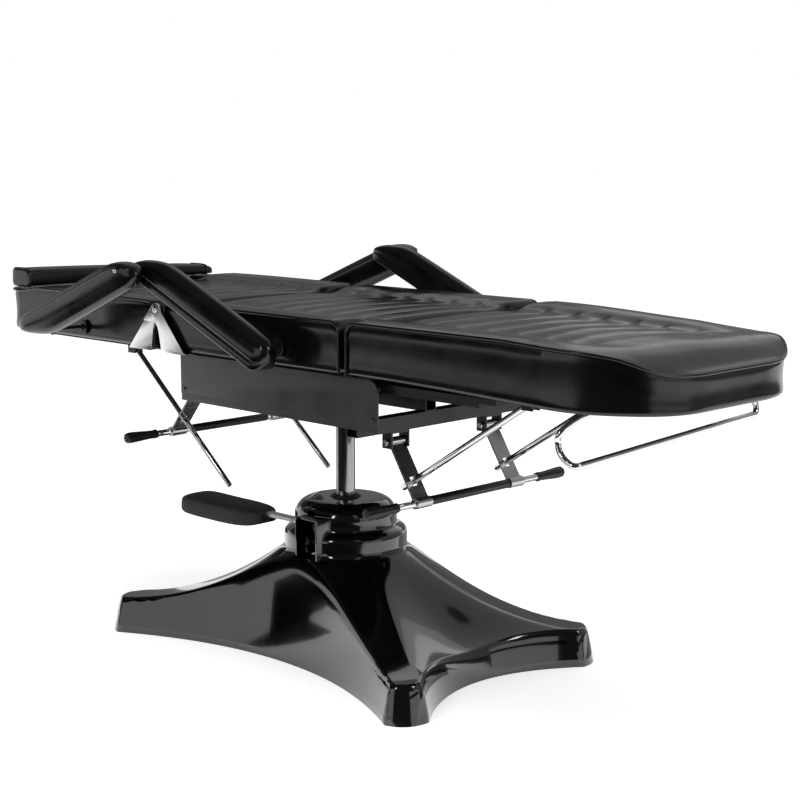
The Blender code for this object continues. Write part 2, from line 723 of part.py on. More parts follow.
def pad_stations(ends, first_channel):
    """Return where a padded section is drawn: x, end pull and channel depth."""
    start, end = ends
    turn = ((0.0, END_ROUND), (END_ROUND * 0.3, END_ROUND * 0.4), (END_ROUND * 1.1, 0.0))
    stations = [(start + along, pull, 0.0) for along, pull in turn]
    for i in range(CHANNELS):
        x = first_channel + i * CHANNEL_PITCH
        stations += [(x - CHANNEL_HALF, 0.0, 0.0), (x, 0.0, CHANNEL_DEPTH),
                     (x + CHANNEL_HALF, 0.0, 0.0)]
    return stations + [(end - along, pull, 0.0) for along, pull in reversed(turn)]


def seat_cushion(frame):
    """Build the seat cushion, square at both ends."""
    rings = [pad_ring(x, HALF_WIDTH, 1.0, PIPE_Z, PAD_BASE_Z, pull, groove)
             for x, pull, groove in pad_stations(SEAT_X, SEAT_CHANNEL_X)]
    make("seat_cushion", loft(rings), "black_leather", frame, 50.0)


def back_cushion(back):
    """Build the backrest cushion with rounded corners and a lower head end."""
    start = BACK_X[0]
    corner = []
    for share in (0.0, 0.12, 0.35, 0.65):
        corner.append((start + HEAD_CORNER * share, END_ROUND if share == 0.0 else 0.0, 0.0))
    corner.append((PILLOW_X[1], 0.0, 0.0))
    stations = corner + pad_stations(BACK_X, BACK_CHANNEL_X)[3:]
    rings = []
    for x, pull, groove in stations:
        reach = max(HEAD_CORNER - (x - start), 0.0)
        inset = HEAD_CORNER - math.sqrt(HEAD_CORNER ** 2 - reach ** 2)
        drop = HEAD_DROP * (1 - smooth_step(x, PILLOW_X[1], PILLOW_X[1] + HEAD_CORNER))
        rings.append(pad_ring(x, HALF_WIDTH - inset * 0.7, 1.0, PIPE_Z - drop, PAD_BASE_Z,
                              pull, groove))
    make("back_cushion", loft(rings), "black_leather", back, 50.0)


def foot_half(x):
    """Return half the leg cushion's width at a place along it."""
    reach = x - (LEG_X[1] - FOOT_CORNER)
    if reach <= 0:
        return HALF_WIDTH
    return HALF_WIDTH - FOOT_CORNER + math.sqrt(max(FOOT_CORNER ** 2 - reach ** 2, 0.0))


def foot_fall(x):
    """Return how far the leg cushion's top has fallen at a place along it."""
    for (x0, fall0), (x1, fall1) in zip(FOOT_FALL, FOOT_FALL[1:]):
        if x0 <= x <= x1:
            return blend(fall0, fall1, (x - x0) / (x1 - x0))
    return 0.0


def leg_cushion(leg):
    """Build the leg cushion with its bowed, scooped foot end."""
    end = LEG_X[1]
    bow = end - FOOT_CORNER
    stations = pad_stations(LEG_X, LEG_CHANNEL_X)[:-3]
    for share in (0.02, 0.36, 0.58, 0.76, 0.89, 0.965):
        stations.append((bow + FOOT_CORNER * share, 0.0, 0.0))
    stations.append((end, END_ROUND * 0.8, 0.0))
    rings = []
    for x, pull, groove in stations:
        drop = foot_fall(x)
        under = FOOT_BASE_DROP * smooth_step(x, FOOT_BOARD_X + BOARD_INSET / 2, end)
        swell = 1.0 - 0.8 * smooth_step(x, FOOT_FALL[0][0], FOOT_FALL[3][0])
        rings.append(pad_ring(x, foot_half(x), swell, PIPE_Z - drop, PAD_BASE_Z - under,
                              pull, groove))
    make("leg_cushion", loft(rings), "black_leather", leg, 50.0)


def head_pillow(back):
    """Build the flat bolster that lies across the head end, thinner at its left end."""
    rest = PIPE_Z - HEAD_DROP + RIM_RISE + FIT
    start, end = PILLOW_X
    middle = (start + end) / 2
    deep = (end - start) / 2
    section = ((-0.80, 0.0), (-1.0, 0.25), (-0.98, 0.70), (-0.72, 0.97), (0.0, 1.0),
               (0.72, 0.94), (0.98, 0.66), (1.0, 0.25), (0.80, 0.0))
    rings = []
    for share, scale in ((0.0, 0.86), (0.012, 0.97), (0.04, 1.0), (0.25, 1.0), (0.5, 1.0),
                         (0.75, 1.0), (0.90, 0.98), (0.97, 0.90), (1.0, 0.62)):
        y = blend(-PILLOW_HALF, PILLOW_HALF, share)
        tall = blend(PILLOW_HEIGHT, PILLOW_FAR_HEIGHT, share ** 1.5) * scale
        rings.append([(middle + deep * a * (0.5 + 0.5 * scale), y, rest + tall * b)
                      for a, b in section])
    make("head_pillow", loft(rings), "black_leather", back, 50.0)


def board(name, xs, half, foot, pockets, body):
    """Build one plywood board with pockets for the hinge leaves let into its top."""
    item = make(name, box((xs[0], -half, foot), (xs[1], half, BOARD_TOP)), "plywood", body)
    for low, high in pockets:
        for sign in SIDES.values():
            ys = sorted((sign * (HALF_WIDTH - LEAF_FOOT_DEPTH - FIT), sign * (half + FIT)))
            cut(item, box((low - FIT, ys[0], BOARD_TOP - LEAF - 2 * FIT),
                          (high + FIT, ys[1], BOARD_TOP + FIT)))
    return item


def boards(frame, back, leg):
    """Build the three boards that carry the cushions."""
    seat_leaf = RECLINE_X + LEAF_FOOT_INNER, RECLINE_X + LEAF_FOOT_OUTER
    back_leaf = RECLINE_X - LEAF_FOOT_OUTER, RECLINE_X - LEAF_FOOT_INNER
    seat_half = SKIRT_INNER_Y - SLIDE_ROOM
    board("seat_board", (SKIRT_X[0], SEAT_X[1] - BOARD_INSET / 2), seat_half, SEAT_BOARD_FOOT,
          [seat_leaf], frame)
    board("back_board", (BACK_X[0] + BOARD_INSET, BACK_X[1] - BOARD_INSET / 2), BOARD_HALF,
          BOARD_FOOT, [back_leaf], back)
    board("leg_board", (LEG_X[0] + BOARD_INSET, FOOT_BOARD_X), BOARD_HALF - BOARD_INSET,
          BOARD_FOOT, [], leg)


def hinge_leaf(name, sign, lean, inner_y, body):
    """Build one chrome leaf of the recline hinge: a tapered plate with a foot under the pad.

    lean is +1 for the leaf on the seat and -1 for the leaf on the backrest.
    """
    foot = BOARD_TOP - LEAF - FIT
    near = RECLINE_X + lean * LEAF_FOOT_INNER
    far = RECLINE_X + lean * LEAF_FOOT_OUTER
    head = arc((RECLINE_X, RECLINE_Z), LEAF_HEAD, 35, 190, 8)
    outline = [(far, foot)] + [(RECLINE_X + lean * (x - RECLINE_X), z) for x, z in head]
    outline += [(RECLINE_X + lean * LEAF_PIN_RADIUS * 0.4, LEAF_NOTCH_Z), (near, foot)]
    outer_y = inner_y + LEAF
    plate = prism(outline, sign * inner_y, sign * outer_y)
    item = make(name, plate, "chrome", body)
    ys = sorted((sign * (HALF_WIDTH - LEAF_FOOT_DEPTH), sign * (inner_y + LEAF / 2)))
    join(item, box((min(near, far), ys[0], foot), (max(near, far), ys[1], foot + LEAF)))
    return item


def recline_hinges(frame, back):
    """Build both recline hinges, with the pin riveted to the leaf on the seat."""
    for side, sign in SIDES.items():
        seat = hinge_leaf(f"hinge_leaf_seat_{side}", sign, 1.0, LEAF_OUTER_Y, frame)
        pin = rod((RECLINE_X, sign * LEAF_INNER_Y, RECLINE_Z),
                  (RECLINE_X, sign * (LEAF_OUTER_Y + LEAF * 1.6), RECLINE_Z), LEAF_PIN_RADIUS)
        join(seat, pin)
        back_leaf = hinge_leaf(f"hinge_leaf_back_{side}", sign, -1.0, LEAF_INNER_Y, back)
        hole = circle(LEAF_PIN_RADIUS + RUNNING, 16, (RECLINE_X, RECLINE_Z))
        ends = sorted((sign * (LEAF_INNER_Y - LEAF), sign * (LEAF_OUTER_Y + LEAF)))
        cut(back_leaf, prism(hole, *ends))


def leg_frame(leg):
    """Build the rails that swing on the skirts and the bar that joins them."""
    top = BOARD_FOOT - FIT
    foot = top - LEG_RAIL_HEIGHT
    radius = LEG_RAIL_HEIGHT / 2
    centre = top - radius
    end = LEG_ROD_TOP_X - CROSS_BAR_WIDTH / 2 - FIT
    outline = [(end, foot), (end, top), *arc((LEG_HINGE_X, centre), radius, 90, 270, 8)]
    hole = circle(LEG_PIN_RADIUS + RUNNING, 16, (LEG_HINGE_X, LEG_HINGE_Z))
    for side, sign in SIDES.items():
        low, high = sorted((sign * LEG_RAIL_Y[0], sign * LEG_RAIL_Y[1]))
        rail = make(f"leg_rail_{side}", prism(outline, low, high), "black_paint", leg)
        cut(rail, prism(hole, low - radius, high + radius))


def cross_bar(name, x, y, half, body):
    """Build the bar under a board that carries the two rod pivots."""
    top = BOARD_FOOT - FIT
    foot = top - CROSS_BAR
    across = CROSS_BAR_WIDTH / 2
    bar = make(name, box((x - across, -half, foot), (x + across, half, top)), "black_paint", body)
    inner = ROD_EYE_WIDTH / 2 + RUNNING
    outer = inner + LUG
    for sign in SIDES.values():
        mid = sign * y
        for low, high in ((mid - outer, mid - inner), (mid + inner, mid + outer)):
            join(bar, box((x - LUG_HALF, low, ROD_TOP_Z - LUG_HALF),
                          (x + LUG_HALF, high, foot + CROSS_BAR / 2)))
        join(bar, rod((x, mid - outer - LUG / 2, ROD_TOP_Z), (x, mid + outer + LUG / 2, ROD_TOP_Z),
                      LOCK_PIN_RADIUS))


def lock_layout(lock, top_x, lock_arm, lean):
    """Return the aims of a lock's rod and plate at rest.

    The rod hangs from its top pivot and crosses the plate square, so it is tangent to the
    circle that the crossing makes about the plate's own pivot.
    """
    top = Vector((top_x, ROD_TOP_Z))
    hang = Vector(lock)
    span = top - hang
    turn = math.asin(lock_arm / span.length) * lean
    aim = math.atan2(span.y, span.x) + turn
    rod_aim = -Vector((math.cos(aim), math.sin(aim)))
    crossing = top + rod_aim * math.sqrt(span.length ** 2 - lock_arm ** 2)
    return rod_aim, (crossing - hang).normalized()


def oblong(start, aim, across, first, last, half):
    """Return the corners of a strip that runs along an aim between two distances."""
    a = start + aim * first
    b = start + aim * last
    side = across * half
    return [tuple(a + side), tuple(b + side), tuple(b - side), tuple(a - side)]


def lock_parts(label, lock, y, top_x, lock_arm, reach, length, lean, lever, rods):
    """Build a friction lock: two hanging plates, the lever bar with grips, and two rods."""
    rod_aim, plate_aim = lock_layout(lock, top_x, lock_arm, lean)
    hang = Vector(lock)
    lever_at = hang + plate_aim * reach
    top = Vector((top_x, ROD_TOP_Z))
    half = LOCK_WIDTH / 2
    barrel = LEVER_RADIUS + LOCK_PLATE
    for side, sign in SIDES.items():
        mid = sign * y
        strip = oblong(hang, plate_aim, rod_aim, 0.0, reach, LOCK_PLATE / 2)
        plate = make(f"{label}_lock_plate_{side}", prism(strip, mid - half, mid + half),
                     "zinc_steel", lever)
        join(plate, prism(circle(LOCK_BARREL, 16, hang), mid - half, mid + half),
             prism(circle(barrel, 16, lever_at), mid - half, mid + half))
        slot = oblong(hang, plate_aim, rod_aim, lock_arm - ROD_RADIUS - SLIDE_ROOM,
                      lock_arm + ROD_RADIUS + SLIDE_ROOM, LOCK_PLATE)
        gap = ROD_RADIUS + RUNNING
        cut(plate, prism(circle(LOCK_PIN_RADIUS + RUNNING, 16, hang), mid - 2 * half, mid + 2 * half),
            prism(circle(LEVER_RADIUS + FIT, 16, lever_at), mid - 2 * half, mid + 2 * half),
            prism(slot, mid - gap, mid + gap))
        eye = prism(circle(ROD_EYE_RADIUS, 16, top), mid - ROD_EYE_WIDTH / 2, mid + ROD_EYE_WIDTH / 2)
        bar = make(f"{label}_rod_{side}", eye, "chrome", rods)
        start = top + rod_aim * (LOCK_PIN_RADIUS + RUNNING)
        end = top + rod_aim * length
        join(bar, rod((start.x, mid, start.y), (end.x, mid, end.y), ROD_RADIUS))
        cut(bar, prism(circle(LOCK_PIN_RADIUS + RUNNING, 16, top), mid - half, mid + half))
    straight = rod((lever_at.x, -LEVER_HALF + FIT, lever_at.y),
                   (lever_at.x, LEVER_HALF - FIT, lever_at.y), LEVER_RADIUS)
    make(f"{label}_lever_bar", straight, "chrome", lever)
    for side, sign in SIDES.items():
        inner = LEVER_RADIUS + FIT
        start = LEVER_HALF - GRIP_LENGTH
        shape = ((0.82, 0.0), (0.76, 0.14), (1.0, 0.81), (0.94, 0.965), (0.80, 1.0))
        profile = [(inner, start)]
        profile += [(GRIP_RADIUS * wide, start + GRIP_LENGTH * along) for wide, along in shape]
        profile.append((inner, LEVER_HALF))
        grip = turned([(r, sign * t) for r, t in profile], 16, (lever_at.x, 0.0, lever_at.y), "y")
        make(f"{label}_lever_grip_{side}", grip, "black_rubber", lever)


def side_reach(z):
    """Return how far out a cushion's side stands at a height."""
    share = (z - PAD_BASE_Z) / (PIPE_Z - PAD_BASE_Z)
    if share < 0.5:
        return HALF_WIDTH - blend(EDGE_TURN * 0.3, SIDE_DRAW, share * 2)
    return HALF_WIDTH - blend(SIDE_DRAW, 0.0, share * 2 - 1)


def stud(name, x, z, radius, outer, sign, body):
    """Build the bolt and washer that stand an arm off the side of a cushion."""
    wall = max(side_reach(z - radius), side_reach(z + radius)) + FIT
    profile = [(radius, wall), (radius, wall + STUD_FLANGE), (STUD_NECK, wall + STUD_FLANGE),
               (STUD_NECK, outer)]
    make(name, turned_solid([(r, sign * t) for r, t in profile], 20, (x, 0.0, z), "y"),
         "black_paint", body)


def arm_section(centre, normal, sign, low_y, high_y, scale):
    """Return one cross-section of an arm pad: round above and flat below."""
    mid = (low_y + high_y) / 2
    half = (high_y - low_y) / 2
    outline = ((-0.86, -0.5), (-1.0, -0.40), (-1.0, 0.02), (-0.90, 0.28), (-0.55, 0.46),
               (0.0, 0.50), (0.55, 0.46), (0.90, 0.28), (1.0, 0.02), (1.0, -0.40), (0.86, -0.5))
    ring = []
    for a, b in outline:
        spot = centre + normal * (b * ARM_HEIGHT * scale)
        ring.append((spot.x, sign * (mid + half * a * (0.5 + 0.5 * scale)), spot.y))
    return ring


def arm_rings(stations, sign):
    """Return the sections of an arm pad along (x, z, scale, inner y, outer y) stations."""
    rings = []
    for i, (x, z, scale, low_y, high_y) in enumerate(stations):
        before = Vector(stations[max(i - 1, 0)][:2])
        after = Vector(stations[min(i + 1, len(stations) - 1)][:2])
        aim = (after - before).normalized()
        normal = Vector((-aim.y, aim.x))
        if normal.y < 0:
            normal = -normal
        rings.append(arm_section(Vector((x, z)), normal, sign, low_y, high_y, scale))
    return rings


def front_pad(side, sign, front):
    """Build the front arm pad, which bends over the apex and ends just behind it."""
    apex = Vector((ARM_APEX_X, ARM_APEX_Z))
    pin = Vector((ARM_FRONT_X, ARM_FRONT_Z))
    down = (pin - apex).normalized()
    back_aim = (Vector((ARM_TAIL_X, ARM_TAIL_Z)) - apex).normalized()
    tip = pin + down * ARM_FRONT_OVERHANG
    ends = ARM_INNER_Y, ARM_INNER_Y + ARM_WIDTH
    stations = []
    for share, scale in ((0.0, 0.45), (0.13, 0.75), (0.45, 0.97), (1.0, 1.0)):
        stations.append((*(tip - down * ARM_END * share), scale, *ends))
    straight = (tip - apex).length - ARM_ELBOW
    for share in (0.4, 0.7):
        stations.append((*(tip - down * straight * share), 1.0, *ends))
    start = apex + down * ARM_ELBOW
    end = apex + back_aim * ARM_ELBOW * 0.8
    for share, scale in ((0.0, 1.0), (0.25, 1.0), (0.5, 1.0), (0.75, 0.96), (0.92, 0.80), (1.0, 0.5)):
        keep = 1 - share
        spot = start * keep ** 2 + apex * 2 * keep * share + end * share ** 2
        stations.append((*spot, scale, *ends))
    make(f"arm_front_pad_{side}", loft(arm_rings(stations, sign)), "black_leather", front, 50.0)


def rear_pad(side, sign, rear):
    """Build the rear arm pad, outside the front one, and the steel bar on its inner face."""
    apex = Vector((ARM_APEX_X, ARM_APEX_Z))
    tail = Vector((ARM_TAIL_X, ARM_TAIL_Z))
    aim = (tail - apex).normalized()
    length = (tail - apex).length
    stations = []
    for distance, scale in ((-ARM_CAP, 0.45), (-ARM_CAP * 0.8, 0.75), (-ARM_CAP * 0.3, 0.97),
                            (ARM_CAP * 0.5, 1.0), (length * 0.5, 1.0), (length - ARM_END, 1.0),
                            (length - ARM_END * 0.4, 0.9), (length - ARM_END * 0.11, 0.66),
                            (length, 0.40)):
        stations.append((*(apex + aim * distance), scale, ARM_LAP_Y, ARM_OUTER_Y))
    make(f"arm_rear_pad_{side}", loft(arm_rings(stations, sign)), "black_leather", rear, 50.0)
    pin = Vector((ARM_REAR_X, ARM_REAR_Z))
    foot = apex + aim * (pin - apex).dot(aim)
    normal = (pin - foot).normalized()
    across = ARM_BAR_HEIGHT / 2
    start = foot - aim * ARM_BAR_HEIGHT * 3
    outline = [start - normal * across, foot + aim * across - normal * across]
    for i in range(9):
        turn = math.pi * i / 8
        outline.append(pin + aim * across * math.cos(turn) + normal * across * math.sin(turn))
    outline += [foot - aim * across + normal * across, start + normal * across]
    ends = sorted((sign * (ARM_LAP_Y - FIT), sign * (ARM_LAP_Y - FIT - ARM_BAR)))
    make(f"arm_rear_bar_{side}", prism([tuple(point) for point in outline], *ends),
         "black_paint", rear)


def arm_parts(side, sign, front, rear, frame, back):
    """Build one armrest: two pads hinged at the apex, with studs on the seat and backrest."""
    front_pad(side, sign, front)
    rear_pad(side, sign, rear)
    stud(f"arm_stud_front_{side}", ARM_FRONT_X, ARM_FRONT_Z, STUD_RADIUS, ARM_INNER_Y - FIT,
         sign, frame)
    stud(f"arm_stud_rear_{side}", ARM_REAR_X, ARM_REAR_Z, STUD_NECK,
         ARM_LAP_Y - ARM_BAR - 2 * FIT, sign, back)


def foot_bar(leg):
    """Build the bent chrome bar under the foot end, which hangs lower at its right end."""
    top = BOARD_FOOT - FIT
    x, y = FOOT_BAR_X, FOOT_BAR_Y
    near, far = FOOT_BAR_NEAR_Z, FOOT_BAR_FAR_Z
    bow = FOOT_BAR_BOW
    seat_x = x - bow * 0.4
    points = [(seat_x, -FOOT_BAR_SEAT_Y, top), (seat_x, -FOOT_BAR_SEAT_Y, top - bow * 0.16)]
    points += [(seat_x - bow * 0.15, -blend(FOOT_BAR_SEAT_Y, y, 0.45), top - bow * 0.34),
               (x - bow * 0.85, -y, blend(near, top, 0.62)), (x - bow, -y, blend(near, top, 0.42)),
               (x - bow * 0.85, -y, blend(near, top, 0.20)), (x - bow * 0.4, -y, near + bow * 0.1),
               (x - bow * 0.08, -y + bow * 0.12, near), (x, -y + bow * 0.6, blend(near, far, 0.05))]
    points += [(x, y - bow * 0.5, blend(near, far, 0.95)), (x, y - bow * 0.15, far),
               (x - bow * 0.05, y, far + bow * 0.3), (x - bow * 0.15, y - bow * 0.2, far + bow * 0.7),
               (seat_x, blend(FOOT_BAR_SEAT_Y, y, 0.35), top - bow * 0.30),
               (seat_x, FOOT_BAR_SEAT_Y, top - bow * 0.16), (seat_x, FOOT_BAR_SEAT_Y, top)]
    make("foot_bar", tube_along(points, FOOT_BAR_RADIUS, 10), "chrome", leg)


def main():
    """Build every piece, each on the empty of the body that it moves with."""
    clear_scene()
    base = pivot("base", (0.0, 0.0, 0.0))
    pedal = pivot("pedal", (0.0, PEDAL_Y, PEDAL_PIVOT_Z), base)
    piston = pivot("piston", (0.0, 0.0, PISTON_FOOT_Z), base)
    frame = pivot("frame", (0.0, 0.0, HEAD_FOOT), piston)
    back = pivot("backrest", (RECLINE_X, 0.0, RECLINE_Z), frame)
    leg = pivot("leg_rest", (LEG_HINGE_X, 0.0, LEG_HINGE_Z), frame)
    back_lock = (BACK_LOCK_X, BACK_LOCK_Z)
    leg_lock = (LEG_LOCK_X, LEG_LOCK_Z)
    back_lever = pivot("back_lever", (BACK_LOCK_X, 0.0, BACK_LOCK_Z), frame)
    leg_lever = pivot("leg_lever", (LEG_LOCK_X, 0.0, LEG_LOCK_Z), frame)
    back_rods = pivot("back_rods", (BACK_ROD_TOP_X, 0.0, ROD_TOP_Z), back)
    leg_rods = pivot("leg_rods", (LEG_ROD_TOP_X, 0.0, ROD_TOP_Z), leg)
    base_parts(base)
    pedal_parts(pedal)
    column_parts(piston, frame)
    frame_parts(frame)
    boards(frame, back, leg)
    seat_cushion(frame)
    back_cushion(back)
    leg_cushion(leg)
    head_pillow(back)
    recline_hinges(frame, back)
    leg_frame(leg)
    cross_bar("back_cross_bar", BACK_ROD_TOP_X, BACK_LOCK_Y, REAR_TUBE_HALF, back)
    cross_bar("leg_cross_bar", LEG_ROD_TOP_X, LEG_LOCK_Y, LEG_RAIL_Y[1], leg)
    lock_parts("back", back_lock, BACK_LOCK_Y, BACK_ROD_TOP_X, BACK_LOCK_ARM, BACK_LEVER_REACH,
               BACK_ROD_LENGTH, -1.0, back_lever, back_rods)
    lock_parts("leg", leg_lock, LEG_LOCK_Y, LEG_ROD_TOP_X, LEG_LOCK_ARM, LEG_LEVER_REACH,
               LEG_ROD_LENGTH, 1.0, leg_lever, leg_rods)
    for side, sign in SIDES.items():
        front = pivot(f"arm_front_{side}", (ARM_FRONT_X, sign * ARM_INNER_Y, ARM_FRONT_Z), frame)
        rear = pivot(f"arm_rear_{side}", (ARM_APEX_X, sign * ARM_LAP_Y, ARM_APEX_Z), front)
        arm_parts(side, sign, front, rear, frame, back)
    foot_bar(leg)


main()
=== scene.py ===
"""Looks of a hydraulic treatment table: glossy black moulding, sewn leather pads, bright metal.

Each class dresses one sub-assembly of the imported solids. Frame: +X to the foot end, -Y to the
side that the photograph shows, +Z up, origin on the column axis at the floor, metres.
"""
import logging
import math
from dataclasses import dataclass
from enum import Enum
from typing import Any, Sequence

import bmesh
import bpy
import numpy as np
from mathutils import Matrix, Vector


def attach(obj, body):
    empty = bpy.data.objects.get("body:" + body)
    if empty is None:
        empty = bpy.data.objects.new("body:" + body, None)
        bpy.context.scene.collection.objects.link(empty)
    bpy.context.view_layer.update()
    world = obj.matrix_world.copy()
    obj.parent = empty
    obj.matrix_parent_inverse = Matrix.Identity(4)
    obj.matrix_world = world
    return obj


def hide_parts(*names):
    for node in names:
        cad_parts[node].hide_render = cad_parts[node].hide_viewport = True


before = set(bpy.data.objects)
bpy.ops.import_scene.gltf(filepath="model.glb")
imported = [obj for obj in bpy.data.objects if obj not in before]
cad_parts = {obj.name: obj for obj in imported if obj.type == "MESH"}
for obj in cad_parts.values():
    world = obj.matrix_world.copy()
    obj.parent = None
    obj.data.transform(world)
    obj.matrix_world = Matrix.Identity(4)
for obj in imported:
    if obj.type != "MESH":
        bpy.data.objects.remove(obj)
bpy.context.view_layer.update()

LOG = logging.getLogger("treatment_table")
MM = 0.001
# Half the table's width, and the room left between faces that would otherwise touch.
HALF_WIDTH = 0.300
FIT = 0.0003
# The angles in degrees above which edges stay sharp: on metal, on soft or bent pieces, on cords.
METAL_CREASE = 40.0
SOFT_CREASE = 60.0
CORD_CREASE = 80.0
# The angle in radians above which an edge of a plate is broken.
RIM_ANGLE = 0.6
# Where the dark and the light tint of a finish lie on its mottle, and how rough a clear coat is.
TINT_STOPS = (0.35, 0.65)
COAT_ROUGHNESS = 0.04

Point = tuple[float, float, float]
Pair = tuple[float, float]


class Side(Enum):
    """The two sides of the table, as the sign of Y."""

    LEFT = 1.0
    RIGHT = -1.0

    @property
    def label(self) -> str:
        """The side's name as the solids spell it."""
        return self.name.lower()


class Relief(Enum):
    """How the fine relief of a surface was made."""

    PEBBLE = "pebble pressed by a roller or mould"
    PEEL = "orange peel of a sprayed or moulded skin"
    BRUSH = "lines drawn one way by a belt or a die"


def linear(colour: str) -> tuple[float, float, float, float]:
    """Turn an sRGB hex colour into linear light.

    Args:
        colour: A hash and six hex digits.

    Returns:
        Linear red, green and blue, and an alpha of 1.
    """
    parts = [int(colour[i:i + 2], 16) / 255 for i in (1, 3, 5)]
    red, green, blue = (p / 12.92 if p <= 0.04045 else ((p + 0.055) / 1.055) ** 2.4
                        for p in parts)
    return red, green, blue, 1.0


def add_node(tree: bpy.types.NodeTree, kind: str, settings: dict[str, Any] | None = None,
             links: dict[str | int, Any] | None = None) -> bpy.types.Node:
    """Add one node with its settings and links.

    Args:
        tree: The node tree that gets the node.
        kind: Blender's name for the node's type.
        settings: Attributes of the node.
        links: For each input, a value, or a node and the name of its output.

    Returns:
        The new node.
    """
    node = tree.nodes.new(kind)
    for key, value in (settings or {}).items():
        setattr(node, key, value)
    for socket, value in (links or {}).items():
        if isinstance(value, tuple) and isinstance(value[0], bpy.types.Node):
            tree.links.new(value[0].outputs[value[1]], node.inputs[socket])
        else:
            node.inputs[socket].default_value = value
    return node


@dataclass(frozen=True)
class Finish:
    """A surface: its colours, its gloss and the relief that its making left."""

    name: str
    dark: str
    light: str
    rough: Pair
    relief: Relief
    relief_mm: float
    depth_mm: float
    mottle_mm: float = 60.0
    crease_mm: float = 0.0
    crease_depth_mm: float = 0.0
    metallic: float = 0.0
    coat: float = 0.0
    run: Point = (1.0, 1.0, 1.0)

    def height(self, tree: bpy.types.NodeTree,
               place: bpy.types.Node) -> tuple[bpy.types.Node, str]:
        """Add the texture whose height makes the fine relief.

        Args:
            tree: The material's node tree.
            place: The node that gives the surface's own coordinates.

        Returns:
            The texture node and the name of the output that holds the height.
        """
        scale = 1 / (self.relief_mm * MM)
        if self.relief is Relief.PEBBLE:
            return add_node(tree, "ShaderNodeTexVoronoi", {"feature": "SMOOTH_F1"},
                            {"Vector": (place, "Object"), "Scale": scale}), "Distance"
        if self.relief is Relief.PEEL:
            return add_node(tree, "ShaderNodeTexNoise", None,
                            {"Vector": (place, "Object"), "Scale": scale, "Detail": 1.0}), "Fac"
        spread = add_node(tree, "ShaderNodeMapping", None,
                          {"Vector": (place, "Object"), "Scale": self.run})
        return add_node(tree, "ShaderNodeTexNoise", None,
                        {"Vector": (spread, "Vector"), "Scale": scale, "Detail": 3.0}), "Fac"

    def material(self) -> bpy.types.Material:
        """Make the nodes of this finish on first use.

        Returns:
            The material, which all pieces of this finish share.
        """
        found = bpy.data.materials.get(self.name)
        if found:
            return found
        material = bpy.data.materials.new(self.name)
        material.use_nodes = True
        tree = material.node_tree
        tree.nodes.clear()
        place = add_node(tree, "ShaderNodeTexCoord")
        drawn = add_node(tree, "ShaderNodeMapping", None,
                         {"Vector": (place, "Object"), "Scale": self.run})
        patches = add_node(tree, "ShaderNodeTexNoise", None,
                           {"Vector": (drawn, "Vector"), "Scale": 1 / (self.mottle_mm * MM),
                            "Detail": 4.0})
        tint = add_node(tree, "ShaderNodeValToRGB", None, {"Fac": (patches, "Fac")})
        stops = zip(tint.color_ramp.elements, TINT_STOPS, (self.dark, self.light))
        for stop, spot, colour in stops:
            stop.position, stop.color = spot, linear(colour)
        rough = add_node(tree, "ShaderNodeMapRange", None,
                         {"Value": (patches, "Fac"), "From Min": 0.3, "From Max": 0.7,
                          "To Min": self.rough[0], "To Max": self.rough[1]})
        bump = add_node(tree, "ShaderNodeBump", None,
                        {"Height": self.height(tree, place), "Distance": self.depth_mm * MM})
        if self.crease_mm:
            folds = add_node(tree, "ShaderNodeTexNoise", None,
                             {"Vector": (place, "Object"), "Scale": 1 / (self.crease_mm * MM),
                              "Detail": 2.0})
            bump = add_node(tree, "ShaderNodeBump", None,
                            {"Height": (folds, "Fac"), "Distance": self.crease_depth_mm * MM,
                             "Normal": (bump, "Normal")})
        shader = add_node(tree, "ShaderNodeBsdfPrincipled", None,
                          {"Base Color": (tint, "Color"), "Roughness": (rough, "Result"),
                           "Normal": (bump, "Normal"), "Metallic": self.metallic,
                           "Coat Weight": self.coat, "Coat Roughness": COAT_ROUGHNESS})
        add_node(tree, "ShaderNodeOutputMaterial", None, {"Surface": (shader, "BSDF")})
        return material


# Polyurethane leather, calendered smooth and pulled tight: a soft gloss that breaks up over shallow
# waves. The real pebble is 0.5 mm wide; it is drawn 3 mm wide so that the render can show it.
LEATHER = Finish("pu_leather_calendered", "#070708", "#0c0c0d", (0.15, 0.24), Relief.PEBBLE, 3.0,
                 0.030, mottle_mm=90.0, crease_mm=110.0, crease_depth_mm=0.8)
# The same leather rolled round a cord and sewn in: tighter, so it shines a little more.
PIPING = Finish("pu_leather_piping", "#070708", "#0d0d0e", (0.16, 0.24), Relief.PEBBLE, 3.0, 0.03,
                mottle_mm=30.0)
# Vacuum formed acrylic-capped ABS: deep black with sharp reflections that swim over a long peel.
MOULDING = Finish("abs_gloss_moulded", "#040405", "#060607", (0.07, 0.11), Relief.PEEL, 26.0, 0.10,
                  mottle_mm=120.0, coat=1.0)
# Sheet steel in grey powder coat: a satin skin with the fine peel of melted powder.
POWDER = Finish("steel_powder_coated_grey", "#262628", "#2d2d30", (0.34, 0.44), Relief.PEEL, 3.0,
                0.05, mottle_mm=50.0)
# Steel tube in black stoving enamel: darker and a little glossier than the powder coat.
ENAMEL = Finish("steel_stove_enamelled_black", "#0b0b0c", "#121213", (0.26, 0.36), Relief.PEEL, 5.0,
                0.04, mottle_mm=60.0)
# Bright chromium plate over ground steel: mirror bright, with faint smears from hands.
CHROME = Finish("steel_chromium_plated", "#d2d3d5", "#e0e1e2", (0.05, 0.10), Relief.BRUSH, 2.0,
                0.004, mottle_mm=45.0, metallic=1.0, run=(1.0, 1.0, 0.1))
